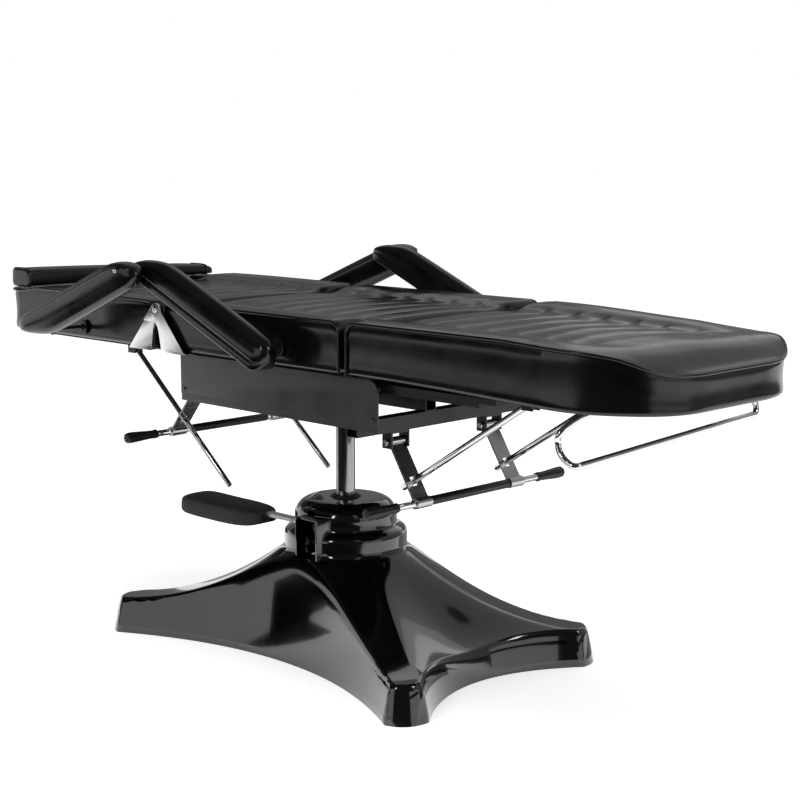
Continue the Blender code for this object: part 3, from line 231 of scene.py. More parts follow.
# Sheet steel, satin polished and chromed: nearly white under the sweep, with soft reflections.
BRIGHT = Finish("steel_sheet_bright_chromed", "#f0f0f1", "#f8f8f8", (0.20, 0.26), Relief.BRUSH, 2.0,
                0.006, mottle_mm=70.0, metallic=1.0, run=(1.0, 1.0, 0.2))
# Ground and hard chromed piston: long streaks along the stroke widen each highlight.
PISTON = Finish("steel_hard_chromed_ground", "#77787a", "#9c9d9f", (0.07, 0.14), Relief.BRUSH, 3.0,
                0.006, mottle_mm=9.0, metallic=1.0, run=(1.0, 1.0, 0.02))
# Zinc plated strip, belt brushed along its length: paler and duller than chrome.
ZINC = Finish("steel_zinc_plated_brushed", "#b4b5b7", "#cbccce", (0.18, 0.28), Relief.BRUSH, 1.2,
              0.02, mottle_mm=30.0, metallic=1.0, run=(1.0, 0.08, 1.0))
# Moulded rubber with a pebble grain: matt, so it reads as dark grey in the same light.
RUBBER = Finish("rubber_moulded_pebbled", "#1e1e1f", "#2a2a2b", (0.60, 0.76), Relief.PEBBLE, 3.2,
                0.45, mottle_mm=9.0)
# Soft vinyl dipped on bars and moulded on grips: smooth and half matt.
VINYL = Finish("vinyl_dip_moulded", "#0d0d0e", "#141415", (0.34, 0.46), Relief.PEEL, 4.0, 0.05,
               mottle_mm=20.0)
# Birch plywood under a stapled black spun cloth: matt, with the felted lie of the fibres.
LINING = Finish("plywood_lined_black_spunbond", "#0f0f10", "#18181a", (0.72, 0.88), Relief.BRUSH,
                2.4, 0.15, mottle_mm=14.0, run=(0.35, 1.0, 1.0))


def blend(a: float, b: float, share: float) -> float:
    """Return the value that lies a share of the way from a to b."""
    return a + (b - a) * share


def smooth_step(value: float, start: float, end: float) -> float:
    """Return 0 before start, 1 after end, and an even rise between."""
    share = min(max((value - start) / (end - start), 0.0), 1.0)
    return share * share * (3 - 2 * share)


def curve_through(knots: Sequence[Pair], at: float) -> float:
    """Read a smooth curve through knots.

    Args:
        knots: Places and values, in rising order of place.
        at: The place to read.

    Returns:
        The value there, held beyond the first and the last knot.
    """
    if at <= knots[0][0]:
        return knots[0][1]
    if at >= knots[-1][0]:
        return knots[-1][1]
    i = next(k for k in range(len(knots) - 1) if at <= knots[k + 1][0])
    (x0, y0), (x1, y1) = knots[i], knots[i + 1]
    before = knots[max(i - 1, 0)]
    after = knots[min(i + 2, len(knots) - 1)]
    wide = x1 - x0
    slope0 = (y1 - before[1]) / (x1 - before[0]) * wide
    slope1 = (after[1] - y0) / (after[0] - x0) * wide
    t = (at - x0) / wide
    return ((2 * t ** 3 - 3 * t ** 2 + 1) * y0 + (t ** 3 - 2 * t ** 2 + t) * slope0
            + (3 * t ** 2 - 2 * t ** 3) * y1 + (t ** 3 - t ** 2) * slope1)


def smooth_path(points: Sequence[Point], steps: int, closed: bool = False) -> list[Vector]:
    """Run a smooth line through points.

    Args:
        points: The points that the line passes through.
        steps: How many parts each stretch is cut into.
        closed: Whether the line returns to its start.

    Returns:
        The points of the line.
    """
    spots = [Vector(p) for p in points]
    count = len(spots)
    line: list[Vector] = []
    for i in range(count if closed else count - 1):
        if closed:
            a, b, c, d = (spots[(i + k) % count] for k in (-1, 0, 1, 2))
        else:
            a, b, c, d = (spots[min(max(i + k, 0), count - 1)] for k in (-1, 0, 1, 2))
        for k in range(steps):
            t = k / steps
            line.append(0.5 * (2 * b + (c - a) * t + (2 * a - 5 * b + 4 * c - d) * t ** 2
                               + (3 * b - a - 3 * c + d) * t ** 3))
    if not closed:
        line.append(spots[-1])
    return line


def band(shape: bmesh.types.BMesh, here: Sequence[Any], there: Sequence[Any]) -> None:
    """Join two closed rows of points with a band of faces.

    Args:
        shape: The shape that gets the faces.
        here: The first row.
        there: The second row, with as many points.
    """
    for i in range(len(here)):
        k = (i + 1) % len(here)
        shape.faces.new((here[i], here[k], there[k], there[i]))


def skin(rings: Sequence[Sequence[Any]], looped: bool = False) -> bmesh.types.BMesh:
    """Lay a skin over closed rings of points.

    Args:
        rings: Rings with the same number of points each.
        looped: Whether the last ring joins the first; if not, a fan closes each end.

    Returns:
        The skin as a bmesh.
    """
    shape = bmesh.new()
    rows = [[shape.verts.new(point) for point in ring] for ring in rings]
    for here, there in zip(rows, rows[1:]):
        band(shape, here, there)
    if looped:
        band(shape, rows[-1], rows[0])
        return shape
    for row in (rows[0][::-1], rows[-1]):
        hub = shape.verts.new(sum((v.co for v in row), Vector()) / len(row))
        for here, there in zip(row, row[1:] + row[:1]):
            shape.faces.new((hub, here, there))
    return shape


def sweep(path: Sequence[Any], radius: float, sides: int,
          closed: bool = False) -> bmesh.types.BMesh:
    """Run a round section along a path without twisting it.

    Args:
        path: The points of the path.
        radius: The section's radius.
        sides: How many sides the section has.
        closed: Whether the path returns to its start.

    Returns:
        The tube as a bmesh.
    """
    spots = [Vector(p) for p in path]
    count = len(spots)
    across = (spots[1] - spots[0]).orthogonal().normalized()
    rings = []
    for i, spot in enumerate(spots):
        before = spots[i - 1] if closed or i else spot
        after = spots[(i + 1) % count] if closed or i < count - 1 else spot
        aim = (after - before).normalized()
        across = (across - across.dot(aim) * aim).normalized()
        up = aim.cross(across)
        turns = [2 * math.pi * k / sides for k in range(sides)]
        rings.append([spot + (across * math.cos(t) + up * math.sin(t)) * radius for t in turns])
    return skin(rings, looped=closed)


def lathe(profile: Sequence[Pair], centre: Point, aim: Any, sides: int = 40,
          flutes: int = 0, flute_depth: float = 0.0) -> bmesh.types.BMesh:
    """Turn a profile about an axis.

    Args:
        profile: Radius and distance along the axis, from end to end.
        centre: The point on the axis where the distance is 0.
        aim: The direction of the axis.
        sides: How many sides the turning has.
        flutes: How many hollows run along it.
        flute_depth: The depth of the hollows as a share of the radius.

    Returns:
        The turned solid as a bmesh.
    """
    way = Vector(aim).normalized()
    across = way.orthogonal().normalized()
    up = way.cross(across)
    rings = []
    for radius, along in profile:
        ring = []
        for k in range(sides):
            turn = 2 * math.pi * (k + 0.5) / sides
            reach = radius * (1 - flute_depth * (0.5 - 0.5 * math.cos(flutes * turn)))
            ring.append(Vector(centre) + way * along
                        + (across * math.cos(turn) + up * math.sin(turn)) * reach)
        rings.append(ring)
    return skin(rings)


def plate(outline: Sequence[Pair], low: float, high: float,
          edge: float = 0.0008) -> bmesh.types.BMesh:
    """Cut a plate that stands along Y, with its edges broken.

    Args:
        outline: The plate's corners as x and z.
        low: The plate's first face, in y.
        high: The plate's second face, in y.
        edge: How wide the broken edges are.

    Returns:
        The plate as a bmesh.
    """
    shape = bmesh.new()
    rows = [[shape.verts.new((x, y, z)) for x, z in outline] for y in (low, high)]
    shape.faces.new(list(reversed(rows[0])))
    shape.faces.new(rows[1])
    band(shape, rows[0], rows[1])
    bmesh.ops.recalc_face_normals(shape, faces=shape.faces)
    rims = [e for e in shape.edges if e.calc_face_angle(0.0) > RIM_ANGLE]
    bmesh.ops.bevel(shape, geom=rims, offset=edge, segments=2, profile=0.6, affect="EDGES")
    return shape


def slab(low: Point, high: Point, edge: float = 0.0008) -> bmesh.types.BMesh:
    """Cut a bar between two corners, with its edges broken."""
    outline = [(low[0], low[2]), (high[0], low[2]), (high[0], high[2]), (low[0], high[2])]
    return plate(outline, low[1], high[1], edge)


def merged(*shapes: bmesh.types.BMesh) -> bmesh.types.BMesh:
    """Put several shapes into the first one.

    Args:
        shapes: The shapes, of which all but the first are used up.

    Returns:
        The first shape, with all the others in it.
    """
    first, *others = shapes
    for other in others:
        spare = bpy.data.meshes.new("spare")
        other.to_mesh(spare)
        other.free()
        first.from_mesh(spare)
        bpy.data.meshes.remove(spare)
    return first


def arc(centre: Pair, radius: float, start: float, end: float, steps: int) -> list[Pair]:
    """Return points along an arc, with its angles in degrees."""
    turns = [math.radians(blend(start, end, i / steps)) for i in range(steps + 1)]
    return [(centre[0] + radius * math.cos(t), centre[1] + radius * math.sin(t)) for t in turns]


def piece(name: str, shape: bmesh.types.BMesh, finish: Finish, body: str,
          crease: float = METAL_CREASE) -> bpy.types.Object:
    """Make a named piece of a shape, and let it ride on a body.

    Args:
        name: The piece's name.
        shape: Its shape, which is used up.
        finish: Its finish.
        body: The body that it moves with.
        crease: The angle in degrees above which an edge stays sharp.

    Returns:
        The new object.
    """
    bmesh.ops.recalc_face_normals(shape, faces=shape.faces)
    mesh = bpy.data.meshes.new(name)
    shape.to_mesh(mesh)
    shape.free()
    mesh.materials.append(finish.material())
    mesh.shade_smooth()
    mesh.set_sharp_from_angle(angle=math.radians(crease))
    item = bpy.data.objects.new(name, mesh)
    bpy.context.scene.collection.objects.link(item)
    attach(item, body)
    LOG.info("piece %s on %s, %s", name, body, finish.name)
    return item


def dress_solid(node: str, finish: Finish, edge_mm: float = 0.0) -> None:
    """Give a solid that keeps its shape a finish, and break its edges.

    Args:
        node: The solid's name.
        finish: Its finish.
        edge_mm: The width of its broken edges, or 0 to leave them.
    """
    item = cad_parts[node]
    item.data.materials.clear()
    item.data.materials.append(finish.material())
    if edge_mm:
        step = item.modifiers.new("broken edge", "BEVEL")
        step.width = edge_mm * MM
        step.segments = 2
        step.limit_method = "ANGLE"
        step.angle_limit = math.radians(METAL_CREASE)
        step.harden_normals = True
    LOG.info("solid %s in %s", node, finish.name)


def soften(item: bpy.types.Object, levels: int = 1) -> None:
    """Round a piece off with a subdivision surface.

    Args:
        item: The piece.
        levels: How often each of its faces is divided.
    """
    step = item.modifiers.new("soft", "SUBSURF")
    step.levels = levels
    step.render_levels = levels


@dataclass
class MouldedBase:
    """The moulded cover on the floor: four arms, a stepped dome and a recess for the pedal."""

    end_x: float = 0.385
    side_y: float = 0.186
    foot_end: Pair = (0.480, 0.238)
    foot_tip: Pair = (0.482, 0.296)
    foot_side: Pair = (0.430, 0.308)
    foot_rim_z: float = 0.077
    end_rim_z: float = 0.062
    wall_foot_z: float = 0.015
    wall_slope: float = 5.0
    edge_round: float = 0.026
    shoulder: Pair = (0.146, 0.220)
    opening: float = 0.0340
    wall: float = 0.007
    top_z: float = 0.335
    crown: float = 0.036
    upper: float = 0.1124
    lower: float = 0.1350
    top_ring: float = 0.060
    upper_foot: tuple[Pair, ...] = (
        (0.0, 0.2820), (0.0010, 0.2785), (0.0035, 0.2762), (0.0080, 0.2745))
    lower_wall: tuple[Pair, ...] = (
        (-0.0075, 0.2715), (-0.0035, 0.2685), (-0.0009, 0.2640), (0.0, 0.2585), (0.0, 0.2370),
        (0.0010, 0.2310), (0.0050, 0.2245))
    arm_fall: float = 2.2
    end_fall: float = 1.6
    flare: float = 0.003
    inner_share: float = 0.975
    inner_inset: float = 0.012
    inner_sink: float = 0.022
    inner_foot_z: float = 0.219
    arm_slot: tuple[Point, Point] = ((-0.205, -0.070, 0.222), (0.0, -0.042, 0.294))
    mouth_x: Pair = (-0.012, 0.056)
    mouth_y: Pair = (-0.139, -0.084)
    mouth_z: Pair = (0.2215, 0.3095)
    mouth_wall: float = 0.0045
    mouth_cut: Pair = (-0.21, -0.056)
    crease: float = 46.0

    def quarter(self) -> list[Point]:
        """Run along a quarter of the outline, from an end of the base to the middle of a side.

        Returns:
            Points as x, y and the share that the arm's crest has in the height there.
        """
        end_steps, tip_steps, side_steps = 26, 18, 38
        points = []
        for i in range(end_steps):
            s = i / end_steps
            x = blend(self.end_x, self.foot_end[0], s ** 2)
            points.append((x, self.foot_end[1] * s, s ** 1.5))
        for i in range(tip_steps):
            s, k = i / tip_steps, 1 - i / tip_steps
            x, y = (k * k * a + 2 * k * s * b + s * s * c
                    for a, b, c in zip(self.foot_end, self.foot_tip, self.foot_side))
            points.append((x, y, 1.0))
        for i in range(side_steps, -1, -1):
            s = i / side_steps
            y = blend(self.side_y, self.foot_side[1], s ** 2)
            points.append((self.foot_side[0] * s, y, 1.0))
        return points

    def outline(self) -> list[Point]:
        """Mirror the quarter of the outline to all four arms.

        Returns:
            The whole outline, counter-clockwise.
        """
        quarter = self.quarter()
        points = list(quarter)
        points += [(-x, y, s) for x, y, s in reversed(quarter[:-1])]
        points += [(-x, -y, s) for x, y, s in quarter[1:]]
        points += [(x, -y, s) for x, y, s in reversed(quarter[1:-1])]
        return points

    def ring(self, along: float, edge: list[Point], inset: float, sink: float) -> list[Point]:
        """Return one ring of the slope between the dome's shoulder and the outline.

        Args:
            along: How far out the ring lies, from 0 at the shoulder to 1 at the outline.
            edge: The outline.
            inset: How far inside the outer skin the ring lies.
            sink: How far below the outer skin it lies.

        Returns:
            The ring's points.
        """
        rim = np.array([(x, y) for x, y, _ in edge])
        share = np.array([s for _, _, s in edge])
        reach = np.linalg.norm(rim, axis=1, keepdims=True)
        spots = rim / reach * self.shoulder[0]
        spots = spots + (rim * (1 - inset / reach) - spots) * along
        away = spots[:, None, :] - rim[None, :, :]
        side = np.roll(rim, -1, axis=0) - rim
        part = np.clip((away * side).sum(2) / (side * side).sum(1), 0, 1)
        near = np.linalg.norm(away - part[..., None] * side, axis=2).min(1)
        tip = math.hypot(*self.foot_tip) - self.shoulder[0]
        out = np.clip((np.linalg.norm(spots, axis=1) - self.shoulder[0]) / tip, 0, 1)
        crest = blend(self.foot_rim_z, self.shoulder[1], (1 - out) ** self.arm_fall)
        end = blend(self.end_rim_z, self.shoulder[1], (1 - along) ** self.end_fall)
        top = blend(end, crest, share)
        wall = self.wall_foot_z + self.wall_slope * near
        mix = np.clip(0.5 + 0.5 * (wall - top) / self.edge_round, 0, 1)
        z = blend(wall, top, mix) - self.edge_round * mix * (1 - mix) - sink
        return [(x, y, h) for (x, y), h in zip(spots.tolist(), z.tolist())]

    def dome(self) -> list[Pair]:
        """Draw the dome's profile: a round crown above two stepped walls.

        Returns:
            Points as radius and height, from the top down.
        """
        points = arc((self.upper - self.crown, self.top_z - self.crown), self.crown, 90, 0, 12)
        points += [(self.upper + out, z) for out, z in self.upper_foot]
        return points + [(self.lower + out, z) for out, z in self.lower_wall]

    def housing(self) -> None:
        """Build the frame round the pedal's opening, which stands out from the dome."""
        (start, end), (out, deep), (foot, top) = self.mouth_x, self.mouth_y, self.mouth_z
        wall, edge = self.mouth_wall, 0.0014
        cheeks = [slab((x, out, foot), (x + wall, deep, top), edge) for x in (start, end - wall)]
        roof = slab((start, out + 0.006, top - wall), (end, deep + 0.01, top), edge)
        piece("pedal_housing", merged(*cheeks, roof), MOULDING, "base")

    def cover(self) -> None:
        """Build the cover as one shell and cut the pedal's recess into its dome."""
        edge = self.outline()
        slope_steps, gather, room = 60, 1.35, 0.002

        def level(radius: float, z: float) -> list[Point]:
            """Return a round ring whose points follow the outline's directions."""
            reach = [math.hypot(x, y) for x, y, _ in edge]
            return [(x / r * radius, y / r * radius, z) for (x, y, _), r in zip(edge, reach)]

        def foot(x: float, y: float) -> Point:
            """Return a point of the cover's rim on the floor, a little outside the outline."""
            out = 1 + self.flare / math.hypot(x, y)
            return x * out, y * out, FIT

        outer = [level(self.opening, self.top_z), level(self.top_ring, self.top_z)]
        outer += [level(r, z) for r, z in self.dome()]
        outer += [self.ring(1 - (1 - i / slope_steps) ** gather, edge, 0.0, 0.0)
                  for i in range(slope_steps + 1)]
        outer.append([foot(x, y) for x, y, _ in edge])
        inner = [[(x * self.inner_share, y * self.inner_share, FIT) for x, y, _ in edge]]
        inner += [self.ring(s, edge, self.inner_inset, self.inner_sink)
                  for s in (0.97, 0.85, 0.7, 0.5, 0.3, 0.12, 0.0)]
        tube, roof = self.upper - self.wall, self.top_z - self.wall
        inner += [level(tube, self.inner_foot_z), level(tube, self.top_z - self.crown),
                  level(self.upper - self.crown, roof), level(self.opening, roof)]
        item = piece("base_cover_moulding", skin(outer + inner, looped=True), MOULDING, "base",
                     self.crease)
        (x0, x1), (y0, y1), (z0, z1) = self.mouth_x, self.mouth_cut, self.mouth_z
        mouth = (x0 + room, y0, z0 + room), (x1 - room, y1, z1 - room)
        for low, high in (self.arm_slot, mouth):
            self.recess(item, slab(low, high, 0.002))
        item.data.shade_smooth()
        item.data.set_sharp_from_angle(angle=math.radians(self.crease))
        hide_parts("base_cover")

    def recess(self, item: bpy.types.Object, shape: bmesh.types.BMesh) -> None:
        """Cut a shape out of the cover.

        Args:
            item: The cover.
            shape: The shape, which is used up.
        """
        mesh = bpy.data.meshes.new("recess")
        shape.to_mesh(mesh)
        shape.free()
        tool = bpy.data.objects.new("recess", mesh)
        bpy.context.scene.collection.objects.link(tool)
        step = item.modifiers.new("recess", "BOOLEAN")
        step.operation, step.solver, step.object = "DIFFERENCE", "EXACT", tool
        bpy.context.view_layer.update()
        graph = bpy.context.evaluated_depsgraph_get()
        result = bpy.data.meshes.new_from_object(item.evaluated_get(graph))
        item.modifiers.clear()
        item.data = result
        bpy.data.objects.remove(tool, do_unlink=True)

    def build(self) -> None:
        """Build the cover and finish the solids under it."""
        self.cover()
        self.housing()
        dress_solid("base_plate", ENAMEL, 0.6)
        dress_solid("pump_cylinder", ZINC)
        dress_solid("pump_gland", RUBBER, 0.5)


@dataclass
class FootPedal:
    """The pump's pedal: a steel arm with a moulded rubber pad on its end."""

    y: float = -0.056
    pivot_z: float = 0.274
    pad_x: Pair = (-0.470, -0.195)
    width: float = 0.100
    height: float = 0.046
    above: float = 0.26

    def pad(self) -> None:
        """Build the rubber pad, rounded above and flat below, chamfered at its inner end."""
        knots = ((0.0, 0.60, 0.40, 0.25), (0.03, 0.84, 0.72, 0.10), (0.10, 0.98, 0.96, 0.0),
                 (0.45, 1.0, 1.0, 0.0), (0.75, 0.98, 0.96, 0.0), (0.90, 0.84, 0.84, 0.04),
                 (0.97, 0.62, 0.66, 0.10), (1.0, 0.40, 0.46, 0.16))
        section = ((-0.88, 0.0), (-1.0, 0.08), (-1.0, 0.30), (-0.98, 0.70), (-0.90, 0.86),
                   (-0.76, 0.95), (-0.35, 1.0), (0.35, 1.0), (0.76, 0.95), (0.90, 0.86),
                   (0.98, 0.70), (1.0, 0.30), (1.0, 0.08), (0.88, 0.0), (0.4, 0.0), (-0.4, 0.0))
        top, steps = self.pivot_z + self.height * self.above, 24
        rings = []
        for i in range(steps + 1):
            share = 0.5 - 0.5 * math.cos(math.pi * i / steps)
            wide, tall, lift = (curve_through([(k[0], k[n]) for k in knots], share)
                                for n in (1, 2, 3))
            crown = top - self.height * lift
            under = crown - self.height * tall
            rings.append([(blend(*self.pad_x, share), self.y + self.width / 2 * wide * a,
                           blend(under, crown, b)) for a, b in section])
        item = piece("pedal_pad_rubber", skin(rings), RUBBER, "pedal", SOFT_CREASE)
        soften(item, 2)
        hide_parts("pedal_pad")

    def build(self) -> None:
        """Build the pad and finish the arm and its pin."""
        self.pad()
        dress_solid("pedal_arm", ZINC, 0.8)
        dress_solid("pedal_pin", ZINC)


@dataclass
class LiftColumn:
    """The hard chromed piston of the pump and the head that turns on it."""

    radius: float = 0.0212
    foot_z: float = 0.140
    top_z: float = 0.561
    chamfer: float = 0.001

    def build(self) -> None:
        """Turn the piston with its broken ends, and finish the head."""
        wide, foot, top, cut = self.radius, self.foot_z, self.top_z, self.chamfer
        profile = [(wide - cut, foot), (wide, foot + cut)]
        profile += [(wide, blend(foot, top, i / 6)) for i in range(1, 6)]
        profile += [(wide, top - cut), (wide - cut, top)]
        shape = lathe(profile, (0.0, 0.0, 0.0), (0, 0, 1), 72)
        item = piece("lift_piston_ground", shape, PISTON, "piston")
        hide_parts("lift_piston")
        dress_solid("swivel_head", ENAMEL, 0.6)


@dataclass
class SeatFrame:
    """The welded frame under the seat, with a folded grey plate along each side."""

    skirt_x: Pair = (-0.210, 0.390)
    skirt_z: Pair = (0.558, 0.6594)
    outer_y: float = 0.285
    wall: float = 0.004
    corner: float = 0.025
    hem: float = 0.0155
    step: float = 0.0013
    flange: float = 0.019
    fold_wall: float = 0.0035
    lap: float = 0.002
    top_fold: Pair = (0.288, 0.6413)
    hinge: Pair = (0.370, 0.6412)
    pin_radius: float = 0.006
    pin_end: float = 0.236
    screw_in: Pair = (0.012, 0.010)

    def skirt(self, side: Side) -> None:
        """Fold one side plate: a flat panel, a hem set back along its foot, and two flanges.

        Args:
            side: The side of the table that it hangs on.
        """
        sign = side.value
        start, end = self.skirt_x
        foot, top = self.skirt_z
        inner, hem_z = self.outer_y - self.wall, foot + self.hem
        round_corner = arc((end - self.corner, top - self.corner), self.corner, 0, 90, 10)
        panel = [(start, hem_z), (end, hem_z), *round_corner, (start, top)]
        hem = [(start, foot), (end, foot), (end, hem_z + 0.001), (start, hem_z + 0.001)]

        def across(low: float, high: float) -> Pair:
            """Return two distances from the middle in rising order of y."""
            ends = sorted((sign * low, sign * high))
            return ends[0], ends[1]

        def fold(x_end: float, z: float) -> bmesh.types.BMesh:
            """Return one flange that is folded in under the seat."""
            ys = across(inner - self.flange, inner + self.lap)
            return slab((start, ys[0], z), (x_end, ys[1], z + self.fold_wall))

        pin = lathe([(self.pin_radius, inner + self.lap), (self.pin_radius, self.pin_end)],
                    (self.hinge[0], 0.0, self.hinge[1]), (0, sign, 0), 28)
        shape = merged(plate(panel, *across(inner, self.outer_y), 0.0009),
                       plate(hem, *across(inner, self.outer_y - self.step), 0.0006),
                       fold(end - self.corner, foot), fold(*self.top_fold), pin)
        item = piece(f"side_skirt_{side.label}_folded", shape, POWDER, "frame")
        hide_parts(f"side_skirt_{side.label}")
        for k, x in enumerate((start + self.screw_in[0], end - self.screw_in[0])):
            spot = x, sign * self.outer_y, hem_z + self.screw_in[1]
            self.screw(f"skirt_screw_{side.label}_{k + 1}", spot, sign)

    def screw(self, name: str, place: Point, sign: float) -> None:
        """Set one low round screw head with four shallow flutes on the face of a side plate.

        Args:
            name: The screw's name.
            place: The middle of its seat.
            sign: The way in y that it looks.
        """
        head = [(0.0012, -0.0004), (0.0046, -0.0004), (0.0046, 0.0002), (0.0040, 0.0010),
                (0.0026, 0.0015), (0.0010, 0.0016)]
        shape = lathe(head, place, (0, sign, 0), 28, flutes=4, flute_depth=0.05)
        piece(name, shape, ENAMEL, "frame")

    def build(self) -> None:
        """Build both side plates and finish the tubes."""
        for side in Side:
            self.skirt(side)
            dress_solid(f"chassis_rail_{side.label}", ENAMEL, 1.5)
        for place in ("front", "middle", "rear"):
            dress_solid(f"cross_tube_{place}", ENAMEL, 1.5)
        dress_solid("seat_board", LINING)


class PadEnd(Enum):
    """The shape of the end of a padded section that no other section follows."""

    SQUARE = "turned over like the other end"
    ROUNDED = "rounded in plan, with the side panel sewn round it"


# A side panel from the piping down, as shares of its height and how far it is drawn in there. The
# last row lies on the base.
BASE_DRAW = 0.055
SIDE_PANEL: tuple[Pair, ...] = (
    (0.030, 0.0026), (0.065, 0.0034), (0.11, 0.0016), (0.20, 0.0022), (0.36, 0.0034),
    (0.54, 0.0040), (0.72, 0.0034), (0.84, 0.0022), (0.91, 0.0018), (0.955, 0.0030),
    (0.985, 0.0062), (1.0, 0.0115), (1.0, BASE_DRAW))


@dataclass
class Cushion:
    """One padded section: a top sewn in channels, side panels with piping, and a flat base.

    Places along it are measured from the end beside the next section.
    """

    name: str
    body: str
    gap_x: float
    length: float
    way: float
    end: PadEnd
    corner: float
    first_channel: float
    fall: tuple[Pair, ...] = ((0.0, 0.0), (1.0, 0.0))
    swell: tuple[Pair, ...] = ((0.0, 1.0), (1.0, 1.0))
    droop: tuple[Pair, ...] = ((0.0, 0.0), (1.0, 0.0))
    twist: float = 0.0
    half: float = HALF_WIDTH - 0.003
    base_z: float = 0.663
    pipe_z: float = 0.766
    turn: float = 0.024
    pitch: float = 0.075
    channels: int = 6
    seam: float = 0.092
    stitch: float = 0.0030
    stitch_depth: float = 0.0022
    seam_stitch: float = 0.0060
    seam_share: float = 0.25
    sewn: float = 0.6
    puff: float = 0.0008
    rim_rise: float = 0.0025
    dish: float = 0.0125
    top_give: float = 0.0016
    side_give: float = 0.0012
    pipe: float = 0.0030
    pipe_out: float = 0.0003
    pipe_in: float = 0.0015
    pipe_foot: float = 0.004
    pipe_sunk: float = 0.0012
    pipe_steps: int = 7

    def reach(self, y: float) -> float:
        """Measure the section's length, which a round end shortens near the sides.

        Args:
            y: The distance from the middle line.

        Returns:
            The length there.
        """
        over = abs(y) - (self.half - self.corner)
        if over <= 0 or self.end is PadEnd.SQUARE:
            return self.length
        return self.length - self.corner + math.sqrt(max(self.corner ** 2 - over ** 2, 0.0))

    def place(self, share: float, y: float) -> float:
        """Return the distance along at a share of the way, which bends only near a round end."""
        return self.length * share - (self.length - self.reach(y)) * share ** 3

    def inside(self, s: float, y: float) -> float:
        """Measure how far a place on the top lies from the nearest piped edge.

        Args:
            s: The place along the section.
            y: The place across it.

        Returns:
            The distance.
        """
        across = abs(y) - (self.half - self.corner)
        if self.end is PadEnd.SQUARE:
            return self.half - abs(y)
        along = s - (self.length - self.corner)
        out = math.hypot(max(across, 0.0), max(along, 0.0)) + min(max(across, along), 0.0)
        return max(self.corner - out, 0.0)

    def groove(self, s: float, y: float) -> float:
        """Measure how much of a sewn line lies at a place on the top.

        Args:
            s: The place along the section.
            y: The place across it.

        Returns:
            A share from 0 away from the lines to 1 on a cross line.
        """
        first, last = self.first_channel, self.first_channel + (self.channels - 1) * self.pitch
        depth = self.inside(s, y)
        middle = smooth_step(depth, self.seam - 0.004, self.seam + 0.004)
        lines = [abs(s - first - i * self.pitch) for i in range(self.channels)]
        cross = math.exp(-(min(lines) / self.stitch) ** 2) * middle
        reach = smooth_step(s, first - 0.07, first - 0.03)
        reach *= 1 - smooth_step(s, last + 0.03, last + 0.07)
        along = math.exp(-((depth - self.seam) / self.seam_stitch) ** 2) * reach * self.seam_share
        return max(cross, along)

    def turned_down(self, s: float) -> float:
        """Measure how far the top has turned down near an end beside another section.

        Args:
            s: The place along the section.

        Returns:
            The depth below the top's own height.
        """
        near = min(s, self.length - s) if self.end is PadEnd.SQUARE else s
        if near >= self.turn:
            return 0.0
        return self.turn - math.sqrt(max(self.turn ** 2 - (self.turn - near) ** 2, 0.0))

    def top(self, s: float, y: float) -> float:
        """Shape the top before it is filled: a raised rim, a dished middle and sewn channels.

        Args:
            s: The place along the section.
            y: The place across it.

        Returns:
            The height of the top there.
        """
        depth, swell = self.inside(s, y), curve_through(self.swell, s)
        rim, middle = self.rim_rise * swell, -self.dish * swell
        knots = ((0.0, 0.0), (0.008, rim * 0.75), (0.036, rim), (0.075, rim * 0.5),
                 (0.115, middle + 0.003), (0.20, middle + 0.0060), (0.30, middle + 0.0075))
        height = curve_through(knots, depth)
        phase = (s - self.first_channel) / self.pitch
        if 0 < phase < self.channels - 1:
            middle_panel = smooth_step(depth, self.seam, self.seam + 0.03)
            height += self.puff * abs(math.sin(math.pi * phase)) * middle_panel
        sag = smooth_step(s, 0.05, 0.50) * (1 - smooth_step(s, 0.52, 0.67))
        sag *= max(y, 0.0) / self.half
        return (self.pipe_z - curve_through(self.fall, s) + height - self.turned_down(s)
                - self.stitch_depth * self.groove(s, y) - self.twist * sag)

    def stations(self) -> tuple[list[float], list[float]]:
        """Choose where the top is drawn: close together at its ends, edges and sewn lines.

        Returns:
            The shares along the section, and the distances across it.
        """
        ends = (0.0, 0.0016, 0.005, 0.010, 0.016, 0.024, 0.034)
        beside = (-0.0085, -0.0032, 0.0, 0.0032, 0.0085)
        rim = (0.0, 0.0025, 0.007, 0.014, 0.023, 0.034, 0.047, 0.061, 0.075, 0.0835, 0.088, 0.092,
               0.096, 0.1005, 0.110, 0.124, 0.140, 0.157, 0.174, 0.191, 0.208, 0.225, 0.242, 0.259,
               0.276)
        spacing, least_along, least_across, large_corner = 0.0125, 0.006, 0.005, 0.1
        along = set(ends) | {self.length - e for e in ends}
        for i in range(self.channels):
            along |= {self.first_channel + i * self.pitch + d for d in beside}
        count = int(self.length / spacing)
        for i in range(count):
            spot = self.length * i / count
            if min(abs(spot - a) for a in along) > least_along:
                along.add(spot)
        right = [self.half - r for r in rim]
        if self.corner > large_corner:
            for i in range(13):
                turn = math.radians(7.5 * i)
                spot = self.half - self.corner + self.corner * math.sin(turn)
                if min(abs(spot - r) for r in right) > least_across:
                    right.append(spot)
        across = sorted({-r for r in right} | {0.0} | set(right))
        return [a / self.length for a in sorted(along)], across

    def world(self, s: float, y: float, z: float) -> Point:
        """Return a place along the section in the table's own frame."""
        return self.gap_x + self.way * s, y, z

